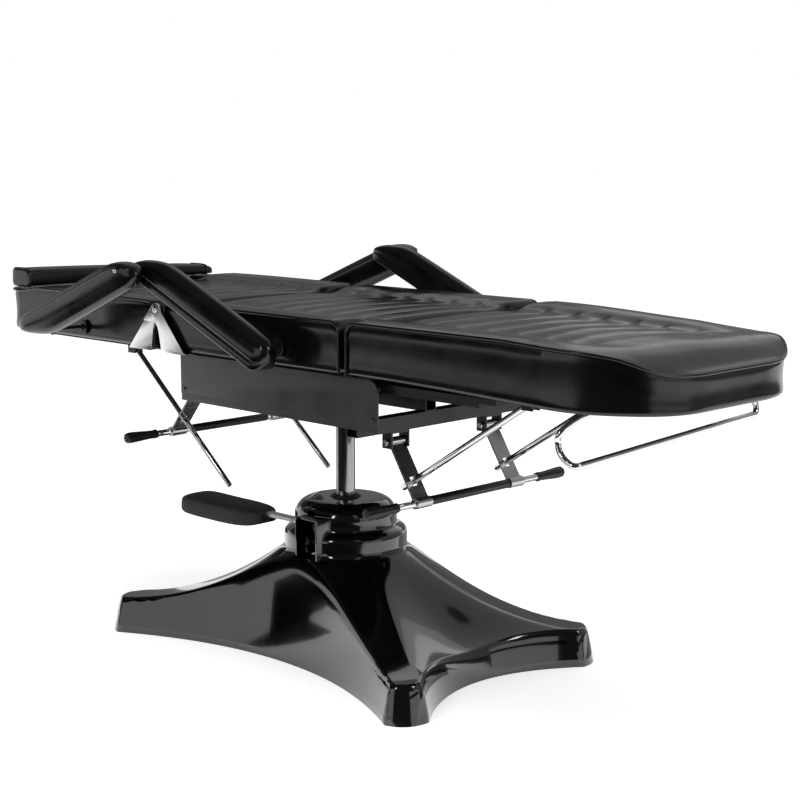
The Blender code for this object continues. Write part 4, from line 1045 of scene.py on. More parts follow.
    def inward(self, s: float, y: float, across: bool, along: bool) -> Pair:
        """Return the way into the section from a place on its edge.

        Args:
            s: The place along the section.
            y: The place across it.
            across: Whether the place is on a side or a round end.
            along: Whether it is on an end beside another section.

        Returns:
            The direction along and across.
        """
        into_s = into_y = 0.0
        if along:
            into_s = 1.0 if s < self.length / 2 else -1.0
        if across:
            side = abs(y) - (self.half - self.corner)
            over = s - (self.length - self.corner)
            if self.end is PadEnd.ROUNDED and over > 0:
                size = max(math.hypot(max(side, 0.0), over), 1e-9)
                into_s -= over / size
                into_y -= math.copysign(max(side, 0.0) / size, y)
            else:
                into_y -= math.copysign(1.0, y)
        return into_s, into_y

    def cover(self) -> tuple[bmesh.types.BMesh, list[float], list[float]]:
        """Sew the cover together.

        Returns:
            The cover's shape, and for each point how firmly it is held and how far it may move.
        """
        shares, across = self.stations()
        square = self.end is PadEnd.SQUARE
        shape = bmesh.new()
        pins: list[float] = []
        caps: list[float] = []

        def spot(s: float, y: float, z: float, pin: float, cap: float) -> bmesh.types.BMVert:
            """Add one point to the cover.

            Args:
                s: The place along the section.
                y: The place across it.
                z: The height.
                pin: How firmly it is held.
                cap: How far it may move.

            Returns:
                The new point.
            """
            pins.append(pin)
            caps.append(cap)
            return shape.verts.new(self.world(s, y, z))

        last_s, last_y = len(shares) - 1, len(across) - 1
        grid = []
        for i, share in enumerate(shares):
            row = []
            for k, y in enumerate(across):
                s = self.place(share, y)
                rim = k in (0, last_y) or i in (0, last_s)
                held = 1.0 if rim or self.groove(s, y) > self.sewn else 0.0
                row.append(spot(s, y, self.top(s, y), held, self.top_give))
            grid.append(row)
        for here, there in zip(grid, grid[1:]):
            for k in range(last_y):
                shape.faces.new((here[k], here[k + 1], there[k + 1], there[k]))
        loop = [(i, 0) for i in range(last_s)] + [(last_s, k) for k in range(last_y)]
        loop += [(i, last_y) for i in range(last_s, 0, -1)] + [(0, k) for k in range(last_y, 0, -1)]
        facts = []
        for i, k in loop:
            s, y = self.place(shares[i], across[k]), across[k]
            sided = k in (0, last_y) or (i == last_s and not square)
            ended = i == 0 or (i == last_s and square)
            base = self.base_z - curve_through(self.droop, s)
            facts.append((s, y, self.top(s, y), base, *self.inward(s, y, sided, ended)))
        above = [grid[i][k] for i, k in loop]
        for share, draw in SIDE_PANEL:
            held = 1.0 if share > 0.9 or share < 0.1 else 0.0
            ring = []
            for s, y, top, base, into_s, into_y in facts:
                z = self.base_z if draw == BASE_DRAW else blend(top, base, share)
                ring.append(spot(s + into_s * draw, y + into_y * draw, z, held, self.side_give))
            band(shape, above, ring)
            above = ring
        middle = spot(self.length / 2, 0.0, self.base_z, 1.0, 0.0)
        for here, there in zip(above, above[1:] + above[:1]):
            shape.faces.new((here, there, middle))
        return shape, pins, caps

    def fill(self, item: bpy.types.Object, pins: list[float], caps: list[float]) -> None:
        """Blow the cover up against its seams by cloth simulation, and keep the result.

        Args:
            item: The sewn cover.
            pins: How firmly each point is held.
            caps: How far each point may move.
        """
        frames, pressure, stiffness, bending = 20, 4.0, 12.0, 2.0
        scene = bpy.context.scene
        rest = [v.co.copy() for v in item.data.vertices]
        held = item.vertex_groups.new(name="seams")
        held.add([i for i, pin in enumerate(pins) if pin > 0.5], 1.0, "REPLACE")
        step = item.modifiers.new("filling", "CLOTH")
        step.settings.vertex_group_mass = "seams"
        step.settings.use_pressure = True
        step.settings.uniform_pressure_force = pressure
        step.settings.effector_weights.gravity = 0.0
        step.settings.quality = 4
        step.settings.tension_stiffness = step.settings.compression_stiffness = stiffness
        step.settings.bending_stiffness = bending
        step.collision_settings.use_collision = False
        step.point_cache.frame_start, step.point_cache.frame_end = 1, frames
        for number in range(1, frames + 1):
            scene.frame_set(number)
        graph = bpy.context.evaluated_depsgraph_get()
        blown = [v.co.copy() for v in item.evaluated_get(graph).data.vertices]
        item.modifiers.remove(step)
        item.vertex_groups.remove(held)
        scene.frame_set(1)
        most = 0.0
        for vertex, old, new, cap in zip(item.data.vertices, rest, blown, caps):
            move = new - old
            most = max(most, move.length)
            if cap > 0.0 and move.length > 0.0:
                move *= cap * math.tanh(move.length / cap) / move.length
            vertex.co = old + move
        LOG.info("filled %s, largest free move %.1f mm", item.name, most / MM)

    def edge_line(self, side: float) -> list[Point]:
        """Run along the seam of one side, from the base of the first end to the far end.

        Args:
            side: The sign of y on that side.

        Returns:
            The points of the piping's line.
        """
        shares, _ = self.stations()
        y, out = side * self.half, side * (self.half + self.pipe_out)
        foot, start = self.base_z + self.pipe_foot, self.top(0.0, y)
        line = [self.world(self.pipe_in, out, blend(foot, start, i / self.pipe_steps))
                for i in range(self.pipe_steps)]
        for share in shares:
            s = self.place(share, y)
            nudge = max(self.pipe_in - s, 0.0)
            if self.end is PadEnd.SQUARE:
                nudge -= max(self.pipe_in - (self.length - s), 0.0)
            line.append(self.world(s + nudge, out, self.top(s, y)))
        return line

    def piping(self) -> None:
        """Lay the piping along the seams between the top and the side panels."""
        if self.end is PadEnd.SQUARE:
            for side in Side:
                line = self.edge_line(side.value)
                x, y, _ = self.world(self.length - self.pipe_in, line[-1][1], 0.0)
                foot, end = self.base_z + self.pipe_foot, line[-1][2]
                line += [(x, y, blend(end, foot, i / self.pipe_steps))
                         for i in range(1, self.pipe_steps + 1)]
                self.cord(f"{self.name}_piping_{side.label}", line)
            return
        right, left = self.edge_line(-1.0), self.edge_line(1.0)
        _, across = self.stations()
        far = []
        for y in across[1:-1]:
            s = self.reach(y)
            into_s, into_y = self.inward(s, y, True, False)
            far.append(self.world(s - into_s * self.pipe_out, y - into_y * self.pipe_out,
                                  self.top(s, y)))
        self.cord(f"{self.name}_piping", right + far + list(reversed(left)))

    def cord(self, name: str, line: Sequence[Point]) -> None:
        """Sweep one length of piping along a line, sunk a little into its seam.

        Args:
            name: The cord's name.
            line: The line, in which points that lie very close together are left out.
        """
        least = 0.0022
        clean = [Vector(line[0])]
        for point in line[1:]:
            if (Vector(point) - clean[-1]).length > least:
                clean.append(Vector(point))
        shape = sweep([p - Vector((0, 0, self.pipe_sunk)) for p in clean], self.pipe, 10)
        item = piece(name, shape, PIPING, self.body, CORD_CREASE)

    def build(self) -> None:
        """Build the filled cover and its piping."""
        shape, pins, caps = self.cover()
        item = piece(f"{self.name}_cover", shape, LEATHER, self.body, SOFT_CREASE)
        self.fill(item, pins, caps)
        soften(item)
        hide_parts(self.name)
        self.piping()


@dataclass
class HeadPillow:
    """The flat bolster across the head end, boxed at its near end and thinner at its far one."""

    xs: Pair = (-0.866, -0.790)
    half: float = 0.280
    rest: float = 0.7643
    tall: float = 0.042
    far_tall: float = 0.024
    pipe: float = 0.0022
    pipe_out: float = 0.0004

    def ring(self, share: float, scale: float, grow: float = 0.0) -> list[Point]:
        """Return one cross-section of the pillow.

        Args:
            share: How far along it lies, from 0 at the near end to 1 at the far one.
            scale: Its size as a share of the full section.
            grow: How much further out its points stand, for piping.

        Returns:
            The section's points.
        """
        knots = ((-0.80, 0.0), (-0.97, 0.10), (-1.0, 0.32), (-0.98, 0.68), (-0.90, 0.90),
                 (-0.70, 0.985), (-0.2, 1.0), (0.3, 1.0), (0.70, 0.95), (0.90, 0.86), (0.98, 0.62),
                 (1.0, 0.30), (0.97, 0.10), (0.80, 0.0), (0.3, 0.0), (-0.3, 0.0))
        line = smooth_path([(a, b, 0.0) for a, b in knots], 2, True)
        y = blend(-self.half, self.half, share)
        tall = blend(self.tall, self.far_tall, share ** 1.5) * scale
        middle, deep = sum(self.xs) / 2, (self.xs[1] - self.xs[0]) / 2 * (0.5 + 0.5 * scale)
        return [(middle + (deep + grow) * p.x, y, self.rest + max(p.y, 0.0) * (tall + grow))
                for p in line]

    def build(self) -> None:
        """Build the pillow and the piping round its two end panels."""
        steps = [(0.0, 0.90), (0.004, 0.95), (0.009, 0.985), (0.018, 0.975), (0.035, 0.99)]
        steps += [(0.06 + 0.84 * i / 30, 1.0 - 0.02 * math.sin(math.pi * i / 30))
                  for i in range(31)]
        steps += [(0.93, 0.975), (0.955, 0.94), (0.975, 0.88), (0.99, 0.78), (1.0, 0.62)]
        shape = skin([self.ring(*s) for s in steps])
        item = piece("head_pillow_cover", shape, LEATHER, "backrest", SOFT_CREASE)
        soften(item)
        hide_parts("head_pillow")
        for label, share, scale in (("near", 0.008, 0.985), ("far", 0.957, 0.94)):
            shape = sweep(self.ring(share, scale, self.pipe_out), self.pipe, 10, True)
            item = piece(f"head_pillow_piping_{label}", shape, PIPING, "backrest", CORD_CREASE)


@dataclass(frozen=True)
class PadSection:
    """The cross-section of a padded link, one half of it from its foot to its top.

    Widths are shares of the half width and heights shares of the height. Where the pad is held
    flat, the foam gives way above and below the pivot's height.
    """

    half: tuple[Pair, ...]
    seam: int
    pivot: float

    def ring(self) -> list[Pair]:
        """Return the whole section: up the outer half and down the inner one."""
        return [*self.half, *((-a, b) for a, b in self.half[-2:0:-1])]

    def seams(self) -> tuple[int, int]:
        """Return the places of the outer and the inner seam in the ring."""
        return self.seam, 2 * (len(self.half) - 1) - self.seam


# A round top sewn to a flat strip below, and a flat top sewn to a deep round belly.
FRONT_PAD = PadSection(
    ((0.0, -0.5), (0.4, -0.5), (0.84, -0.5), (0.95, -0.48), (0.985, -0.43), (0.985, -0.28),
     (0.965, -0.245), (0.900, -0.22), (0.965, -0.195), (0.995, -0.13), (1.0, -0.02), (0.97, 0.12),
     (0.89, 0.26), (0.74, 0.375), (0.52, 0.455), (0.27, 0.49), (0.0, 0.5)), seam=7, pivot=-0.22)
REAR_PAD = PadSection(
    ((0.0, -0.5), (0.30, -0.485), (0.54, -0.44), (0.74, -0.35), (0.87, -0.22), (0.945, -0.07),
     (0.99, 0.09), (1.0, 0.21), (0.965, 0.28), (0.895, 0.31), (0.945, 0.335), (0.88, 0.395),
     (0.68, 0.455), (0.36, 0.49), (0.0, 0.5)), seam=9, pivot=0.0)


@dataclass
class Armrest:
    """One armrest: two padded links hinged at the apex, one on the seat and one on the backrest."""

    side: Side
    front: Pair = (0.125, 0.702)
    apex: Pair = (-0.195, 0.838)
    rear: Pair = (-0.547, 0.690)
    rear_start: Pair = (-0.190, 0.8495)
    rear_end: Pair = (-0.610, 0.6805)
    inner_y: float = 0.328
    lap_y: float = 0.3826
    width: float = 0.054
    front_height: float = 0.068
    rear_height: float = 0.073
    overhang: float = 0.046
    beyond: float = 0.066
    top_z: float = 0.8615
    tail_z: float = 0.6815
    give: float = 0.009
    front_ends: Pair = (0.034, 0.040)
    rear_ends: Pair = (0.040, 0.046)
    end_power: float = 2.2
    end_tip: float = 0.08
    seam_radius: float = 0.0013
    seam_out: float = 0.0002
    seam_trim: float = 0.003
    cap_from_apex: Pair = (-0.034, 0.004)

    def held(self, value: float, limit: float, way: float) -> float:
        """Return a value kept softly above a limit, or below it where way is -1."""
        over = (value - limit) * way
        return limit + way * 0.5 * (over + math.hypot(over, self.give))

    def section(self, kind: PadSection, centre: Vector, normal: Vector, scale: float,
                grow: float = 0.0) -> list[Point]:
        """Draw one cross-section of a pad, held flat at the apex's and the tail's height.

        Args:
            kind: The form of the section.
            centre: The section's middle as x and z.
            normal: The way up from it.
            scale: Its size as a share of the full section.
            grow: How much further out the points stand.

        Returns:
            The section's points.
        """
        low, tall, deep = self.inner_y, self.front_height, -self.front_height / 2
        if kind is REAR_PAD:
            low, tall = self.lap_y, self.rear_height
            deep = self.held(-tall / 2, (self.tail_z - centre.y) / normal.y, 1.0)
        high = self.held(tall / 2, (self.top_z - centre.y) / normal.y, -1.0)
        middle, half, still = low + self.width / 2, self.width / 2, kind.pivot * tall
        ring = []
        for a, b in kind.ring():
            if b > kind.pivot:
                end, share = high, (b - kind.pivot) / (0.5 - kind.pivot)
            else:
                end, share = deep, (kind.pivot - b) / (kind.pivot + 0.5)
            spot = centre + normal * blend((high + deep) / 2, blend(still, end, share), scale)
            y = middle + (half + grow) * a * scale ** 0.8
            ring.append((spot.x, self.side.value * y, spot.y))
        return ring

    def stations(self, start: Vector, end: Vector, ends: Pair) -> list[Vector]:
        """Divide a link's middle line, more closely over the rounded length at each end.

        Args:
            start: The line's start as x and z.
            end: Its end.
            ends: How long the rounding is at each end.

        Returns:
            The points of the line.
        """
        spacing, marks_per_end = 0.016, 10
        length = (end - start).length
        marks = {0.0, length}
        for i in range(1, marks_per_end):
            lean = 1 - math.cos(math.pi / 2 * i / marks_per_end)
            marks |= {ends[0] * lean, length - ends[1] * lean}
        count = max(int(length / spacing), 1)
        for i in range(count + 1):
            mark = length * i / count
            if ends[0] <= mark <= length - ends[1]:
                marks.add(mark)
        return [start + (end - start) * (m / length) for m in sorted(marks)]

    def pad(self, kind: PadSection, link: str, line: tuple[Vector, Vector], ends: Pair) -> None:
        """Build one padded link with its seams.

        Args:
            kind: The form of its section.
            link: Which of the two links it is.
            line: The two ends of the link's middle line as x and z.
            ends: How long the rounding is at each end.
        """
        name, body = f"arm_{link}_pad_{self.side.label}", f"arm_{link}_{self.side.label}"
        path = self.stations(*line, ends)
        gone = [0.0]
        for here, there in zip(path, path[1:]):
            gone.append(gone[-1] + (there - here).length)
        rings = []
        seams: dict[int, list[Point]] = {index: [] for index in kind.seams()}
        for i, spot in enumerate(path):
            aim = (path[min(i + 1, len(path) - 1)] - path[max(i - 1, 0)]).normalized()
            normal = Vector((-aim.y, aim.x))
            normal = normal if normal.y > 0 else -normal
            scale = 1.0
            for distance, length in ((gone[i], ends[0]), (gone[-1] - gone[i], ends[1])):
                if distance < length:
                    rounding = math.sqrt(1 - (1 - distance / length) ** self.end_power)
                    scale = min(scale, max(rounding, self.end_tip))
            rings.append(self.section(kind, spot, normal, scale))
            wide = self.section(kind, spot, normal, scale, self.seam_out)
            for index, seam in seams.items():
                seam.append(wide[index])
        item = piece(f"{name}_cover", skin(rings), LEATHER, body, SOFT_CREASE)
        soften(item)
        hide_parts(name)
        for label, seam in zip(("outer", "inner"), seams.values()):
            trimmed = [p for p, g in zip(seam, gone)
                       if self.seam_trim < g < gone[-1] - self.seam_trim]
            shape = sweep(trimmed, self.seam_radius, 8)
            piece(f"{name}_seam_{label}", shape, PIPING, body, CORD_CREASE)

    def bolts(self) -> None:
        """Set the bright cap at the apex and the bolts at the two studs."""
        label, sign = self.side.label, self.side.value
        head = [(0.0005, -0.003), (0.0052, -0.003), (0.0052, 0.0008), (0.0046, 0.0020),
                (0.0030, 0.0028), (0.0005, 0.0031)]
        face = self.lap_y + self.width - 0.0015
        x, z = (a + b for a, b in zip(self.apex, self.cap_from_apex))
        shape = lathe(head, (x, sign * face, z), (0, sign, 0), 28)
        piece(f"arm_apex_cap_{label}", shape, CHROME, f"arm_rear_{label}")
        ring = [(0.010, 0.2995), (0.0185, 0.2995), (0.0195, 0.3015), (0.0195, 0.3055),
                (0.0185, 0.3075), (0.0150, 0.3082), (0.0130, 0.3260), (0.0105, 0.3270)]
        washer = [(0.006, 0.2985), (0.0150, 0.2985), (0.0158, 0.2995), (0.0158, 0.3008),
                  (0.0150, 0.3018), (0.0075, 0.3022), (0.0070, 0.3050), (0.0045, 0.3056),
                  (0.0045, 0.3776)]
        studs = (("front", self.front, ring, 40, "frame"),
                 ("rear", self.rear, washer, 36, "backrest"))
        for link, (x, z), profile, sides, body in studs:
            shape = lathe(profile, (x, 0.0, z), (0, sign, 0), sides)
            item = piece(f"arm_stud_{link}_{label}_turned", shape, ENAMEL, body)
            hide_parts(f"arm_stud_{link}_{label}")

    def build(self) -> None:
        """Build both pads, the hidden bar's finish and the bolts."""
        apex, pin = Vector(self.apex), Vector(self.front)
        down = (pin - apex).normalized()
        front = pin + down * self.overhang, apex - down * self.beyond
        rear = Vector(self.rear_start), Vector(self.rear_end)
        self.pad(FRONT_PAD, "front", front, self.front_ends)
        self.pad(REAR_PAD, "rear", rear, self.rear_ends)
        dress_solid(f"arm_rear_bar_{self.side.label}", ENAMEL, 0.5)
        self.bolts()


@dataclass
class FrictionLock:
    """Two hanging plates that bind on two rods until their lever bar is pulled."""

    label: str
    hang: Pair
    y: float
    plate_aim: Pair
    lever_reach: float
    rod_top: Pair
    rod_aim: Pair
    rod_length: float
    bar_half: float = 0.294
    grip_length: float = 0.084
    grip_radius: float = 0.0125
    rod_radius: float = 0.0065
    eye_reach: float = 0.0075
    nut_out: float = 0.0258
    nut_crease: float = 25.0

    def lever(self) -> Vector:
        """Return the axis of the lever bar as x and z."""
        return Vector(self.hang) + Vector(self.plate_aim).normalized() * self.lever_reach

    def rod(self, side: Side) -> None:
        """Build one chromed rod with the eye that it hangs from.

        Args:
            side: The side of the table that it is on.
        """
        y, wide = side.value * self.y, self.rod_radius
        top, aim = Vector(self.rod_top), Vector(self.rod_aim).normalized()
        start, end = top + aim * self.eye_reach, top + aim * self.rod_length
        length = (end - start).length
        profile = [(wide, 0.0), (wide, length * 0.5), (wide, length - 0.0016),
                   (wide - 0.0012, length)]
        stem = lathe(profile, (start.x, y, start.y), (aim.x, 0.0, aim.y), 32)
        eye = [(0.0046, -0.0070), (0.0082, -0.0070), (0.0090, -0.0062), (0.0090, 0.0062),
               (0.0082, 0.0070), (0.0046, 0.0070)]
        shape = merged(stem, lathe(eye, (top.x, y, top.y), (0, 1, 0), 32))
        item = piece(f"{self.label}_rod_{side.label}_drawn", shape, CHROME, f"{self.label}_rods")
        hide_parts(f"{self.label}_rod_{side.label}")

    def grip(self, side: Side) -> None:
        """Mould one flared grip with flutes and an end cap.

        Args:
            side: The side of the table that it is on.
        """
        at, start = self.lever(), self.bar_half - self.grip_length
        shares = ((0.60, 0.0), (0.80, 0.004), (0.84, 0.03), (0.80, 0.10), (0.76, 0.18),
                  (0.82, 0.36), (0.92, 0.58), (1.0, 0.78), (1.0, 0.90), (0.96, 0.955),
                  (0.86, 0.990), (0.70, 1.004), (0.45, 1.008), (0.06, 1.009))
        profile = [(self.grip_radius * wide, start + self.grip_length * along)
                   for wide, along in shares]
        shape = lathe(profile, (at.x, 0.0, at.y), (0, side.value, 0), 48, flutes=8,
                      flute_depth=0.10)
        name = f"{self.label}_lever_grip_{side.label}"
        item = piece(f"{name}_moulded", shape, VINYL, f"{self.label}_lever")
        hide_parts(name)

    def bolt(self, side: Side) -> None:
        """Set a hexagon nut on each end of the bolt that a plate hangs from.

        Args:
            side: The side of the table that the plate is on.
        """
        profile = [(0.0030, 0.0), (0.0068, 0.0), (0.0076, 0.0007), (0.0076, 0.0044),
                   (0.0066, 0.0052), (0.0036, 0.0052), (0.0034, 0.0066), (0.0010, 0.0068)]
        nuts = []
        for end in Side:
            y = side.value * self.y + end.value * self.nut_out
            nuts.append(lathe(profile, (self.hang[0], y, self.hang[1]), (0, end.value, 0), 6))
        item = piece(f"{self.label}_clevis_nuts_{side.label}", merged(*nuts), ZINC, "frame",
                     self.nut_crease)

    def build(self) -> None:
        """Build the rods, the lever's sleeve and grips, and finish the plates."""
        at = self.lever()
        sleeve = [(0.0071, -0.117), (0.0086, -0.117), (0.0092, -0.1155), (0.0092, 0.1155),
                  (0.0086, 0.117), (0.0071, 0.117)]
        shape = lathe(sleeve, (at.x, 0.0, at.y), (0, 1, 0), 32)
        piece(f"{self.label}_lever_sleeve", shape, VINYL, f"{self.label}_lever")
        dress_solid(f"{self.label}_lever_bar", CHROME)
        dress_solid(f"{self.label}_cross_bar", ENAMEL, 0.8)
        for side in Side:
            self.rod(side)
            self.grip(side)
            self.bolt(side)
            dress_solid(f"{self.label}_lock_plate_{side.label}", ZINC, 0.5)
            dress_solid(f"{self.label}_clevis_{side.label}", ENAMEL, 0.5)


@dataclass
class ReclineHinge:
    """The chromed leaves at the sides of the table, which the backrest turns on."""

    pin: Pair = (-0.267, 0.7495)
    inner_y: float = 0.3012
    leaf: float = 0.0030
    head: float = 0.0135
    foot_z: float = 0.6594
    flange: Pair = (0.026, 0.100)
    flange_y: float = 0.216
    fold_z: float = 0.7240
    gap: tuple[Pair, ...] = ((0.6594, 0.0195), (0.6740, 0.0178), (0.6900, 0.0145), (0.7030, 0.0115),
                             (0.7120, 0.0085), (0.7180, 0.0050), (0.7220, 0.0))

    def outline(self, lean: float) -> list[Pair]:
        """Draw a leaf, of which the outer one also caps the inner one.

        Args:
            lean: The way in x that the leaf leans, 1 for the outer leaf and -1 for the inner one.

        Returns:
            The leaf's corners as x and z.
        """
        x = self.pin[0]
        turned = [(x + lean * (px - x), pz) for px, pz in arc(self.pin, self.head, 35, 145, 10)]
        edge = [(x + lean * wide, height) for height, wide in reversed(self.gap)]
        share = (self.fold_z - self.foot_z) / (turned[-1][1] - self.foot_z)
        if lean > 0:
            cap = [(blend(x - self.flange[1], turned[-1][0], share), self.fold_z)]
        else:
            cap = [(x + self.head * 0.4, self.fold_z + 0.008)]
        return [(x + lean * self.flange[1], self.foot_z), *turned, *cap, *edge]

    def build(self) -> None:
        """Cut both leaves of each hinge, and rivet them on the pin."""
        x, z = self.pin
        for side in Side:
            sign = side.value
            for leaf, lean, low, body in (("seat", 1.0, self.inner_y + self.leaf + FIT, "frame"),
                                          ("back", -1.0, self.inner_y, "backrest")):
                ends = sorted((sign * low, sign * (low + self.leaf)))
                xs = sorted((x + lean * self.flange[0], x + lean * self.flange[1]))
                ys = sorted((sign * self.flange_y, sign * (low + self.leaf / 2)))
                foot = slab((xs[0], ys[0], self.foot_z), (xs[1], ys[1], self.foot_z + self.leaf),
                            0.0004)
                shape = merged(plate(self.outline(lean), ends[0], ends[1], 0.0005), foot)
                item = piece(f"hinge_leaf_{leaf}_{side.label}_pressed", shape, BRIGHT, body)
                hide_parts(f"hinge_leaf_{leaf}_{side.label}")
            face = self.inner_y + 2 * self.leaf + FIT
            head = [(0.0040, self.inner_y), (0.0040, face - 0.0002), (0.0066, face - 0.0002),
                    (0.0066, face + 0.0006), (0.0056, face + 0.0018), (0.0034, face + 0.0027),
                    (0.0010, face + 0.0030)]
            shape = lathe(head, (x, 0.0, z), (0, sign, 0), 32)
            piece(f"hinge_rivet_{side.label}", shape, BRIGHT, "frame")


@dataclass
class LegFrame:
    """The rails, board and bent paper-roll bar under the leg section."""

    bar_x: float = 0.862
    bar_y: float = 0.277
    near_z: float = 0.560
    far_z: float = 0.588
    bow: float = 0.040
    seat_y: float = 0.215
    board_foot: float = 0.6504
    radius: float = 0.006

    def bar(self) -> None:
        """Bend the chromed bar, which hangs lower at its near end, and set its two feet."""
        x, y, bow = self.bar_x, self.bar_y, self.bow
        near, far, top = self.near_z, self.far_z, self.board_foot
        seat = x - bow * 0.4
        line = [(seat, -self.seat_y, top), (seat, -self.seat_y, top - bow * 0.16),
                (seat - bow * 0.15, -blend(self.seat_y, y, 0.45), top - bow * 0.34),
                (x - bow * 0.85, -y, blend(near, top, 0.62)), (x - bow, -y, blend(near, top, 0.42)),
                (x - bow * 0.85, -y, blend(near, top, 0.20)), (x - bow * 0.4, -y, near + bow * 0.1),
                (x - bow * 0.08, -y + bow * 0.12, near),
                (x, -y + bow * 0.6, blend(near, far, 0.05))]
        line += [(x, blend(-y, y, i / 6), blend(near, far, i / 6)) for i in range(1, 6)]
        line += [(x, y - bow * 0.5, blend(near, far, 0.95)), (x, y - bow * 0.15, far),
                 (x - bow * 0.05, y, far + bow * 0.3),
                 (x - bow * 0.15, y - bow * 0.2, far + bow * 0.7),
                 (seat, blend(self.seat_y, y, 0.35), top - bow * 0.30),
                 (seat, self.seat_y, top - bow * 0.16), (seat, self.seat_y, top)]
        shape = sweep(smooth_path(line, 5), self.radius, 18)
        flange = [(0.004, 0.0), (0.013, 0.0), (0.0135, 0.0006), (0.0135, 0.0020), (0.0125, 0.0028),
                  (0.004, 0.0028)]
        feet = [lathe(flange, (seat, s.value * self.seat_y, top - 0.0030), (0, 0, 1), 28)
                for s in Side]
        item = piece("foot_bar_bent", merged(shape, *feet), CHROME, "leg_rest", SOFT_CREASE)
        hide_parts("foot_bar")

    def build(self) -> None:
        """Build the bar and finish the rails and boards."""
        self.bar()
        for side in Side:
            dress_solid(f"leg_rail_{side.label}", ENAMEL, 1.0)
        dress_solid("leg_board", LINING)
        dress_solid("back_board", LINING)


@dataclass
class Studio:
    """A white sweep, soft light from above, and dark flags that only reflections see."""

    camera_at: Point = (2.583, -2.440, 1.1097)
    camera_tilt: float = 8.9774
    camera_turn: float = 44.7068
    lens: float = 74.28
    sensor: float = 36.0
    floor: str = "#f6f6f6"
    floor_glow: str = "#bcbcbc"
    floor_reach: float = 30.0
    soft_light: float = 0.60
    ceiling: float = 3.6
    ceiling_reach: float = 12.0
    cloth_z: float = 0.004

    def camera(self) -> None:
        """Set up the camera where the photograph was taken from."""
        data = bpy.data.cameras.new("photograph")
        data.lens, data.sensor_width = self.lens, self.sensor
        item = bpy.data.objects.new("photograph", data)
        item.location = self.camera_at
        tilt, turn = math.radians(90 - self.camera_tilt), math.radians(self.camera_turn)
        item.rotation_euler = (tilt, 0.0, turn)
        bpy.context.scene.collection.objects.link(item)
        bpy.context.scene.camera = item

    def shown(self, tree: bpy.types.NodeTree) -> tuple[bpy.types.Node, str]:
        """Tell the rays that show the backdrop, by eye or by reflection, from its own light.

        Args:
            tree: The node tree that gets the nodes.

        Returns:
            The node and the output that hold 1 for such rays and 0 for others.
        """
        path = add_node(tree, "ShaderNodeLightPath")
        mirror = add_node(tree, "ShaderNodeMath", {"operation": "MAXIMUM"},
                          {0: (path, "Is Glossy Ray"), 1: (path, "Is Transmission Ray")})
        return add_node(tree, "ShaderNodeMath", {"operation": "MAXIMUM"},
                        {0: (path, "Is Camera Ray"), 1: (mirror, "Value")}), "Value"

    def world(self) -> None:
        """Make the surroundings white to the eye and a plain soft light to the table."""
        world = bpy.data.worlds.new("white_sweep")
        bpy.context.scene.world = world
        world.use_nodes = True
        tree = world.node_tree
        tree.nodes.clear()
        soft, white = (add_node(tree, "ShaderNodeBackground", None,
                                {"Color": linear("#ffffff"), "Strength": strength})
                       for strength in (self.soft_light, 1.0))
        mix = add_node(tree, "ShaderNodeMixShader", None,
                       {0: self.shown(tree), 1: (soft, "Background"), 2: (white, "Background")})
        add_node(tree, "ShaderNodeOutputWorld", None, {"Surface": (mix, "Shader")})

    def sheet(self, name: str, corners: Sequence[Point],
              material: bpy.types.Material) -> bpy.types.Object:
        """Stretch one flat sheet of the studio between corners.

        Args:
            name: The sheet's name.
            corners: Its corners in order.
            material: Its material.

        Returns:
            The new object.
        """
        mesh = bpy.data.meshes.new(name)
        mesh.from_pydata([Vector(c) for c in corners], [], [tuple(range(len(corners)))])
        mesh.materials.append(material)
        item = bpy.data.objects.new(name, mesh)
        bpy.context.scene.collection.objects.link(item)
        return item

    def surface(self, name: str, colour: str, roughness: float) -> bpy.types.Material:
        """Make a plain material without highlights for the studio itself.

        Args:
            name: The material's name.
            colour: Its colour as a hash and six hex digits.
            roughness: Its roughness.

        Returns:
            The new material.
        """
        material = bpy.data.materials.new(name)
        material.use_nodes = True
        shader = material.node_tree.nodes["Principled BSDF"]
        shader.inputs["Base Color"].default_value = linear(colour)
        shader.inputs["Roughness"].default_value = roughness
        shader.inputs["Specular IOR Level"].default_value = 0.0
        return material

    def flag(self, name: str, start: Pair, end: Pair, heights: Pair, glow: float) -> None:
        """Hang an upright card that only reflections see.

        Args:
            name: The card's name.
            start: One end of its foot as x and y.
            end: The other end of its foot.
            heights: The heights of its foot and its top.
            glow: How bright the card looks, from 0 for black cloth to 1 for white.
        """
        foot, top = heights
        self.card(name, [(*start, foot), (*end, foot), (*end, top), (*start, top)], glow)

    def card(self, name: str, corners: Sequence[Point], glow: float) -> None:
        """Stretch a card that only reflections see.

        Args:
            name: The card's name.
            corners: Its corners in order.
            glow: How bright the card looks, from 0 for black cloth to 1 for white.
        """
        material = self.surface(f"{name}_cloth", "#020202", 1.0)
        shader = material.node_tree.nodes["Principled BSDF"]
        shader.inputs["Emission Color"].default_value = linear("#ffffff")
        shader.inputs["Emission Strength"].default_value = glow
        item = self.sheet(name, corners, material)
        item.visible_camera = item.visible_diffuse = item.visible_shadow = False
        item.visible_transmission = item.visible_volume_scatter = False

    def paper(self) -> bpy.types.Material:
        """Make white sweep paper: lit all over to the eye and in reflections, but with shadows.

        Returns:
            The new material.
        """
        material = self.surface("sweep_paper", self.floor, 0.9)
        tree = material.node_tree
        shader = tree.nodes["Principled BSDF"]
        tree.links.new(self.shown(tree)[0].outputs["Value"], shader.inputs["Emission Strength"])
        shader.inputs["Emission Color"].default_value = linear(self.floor_glow)
        return material

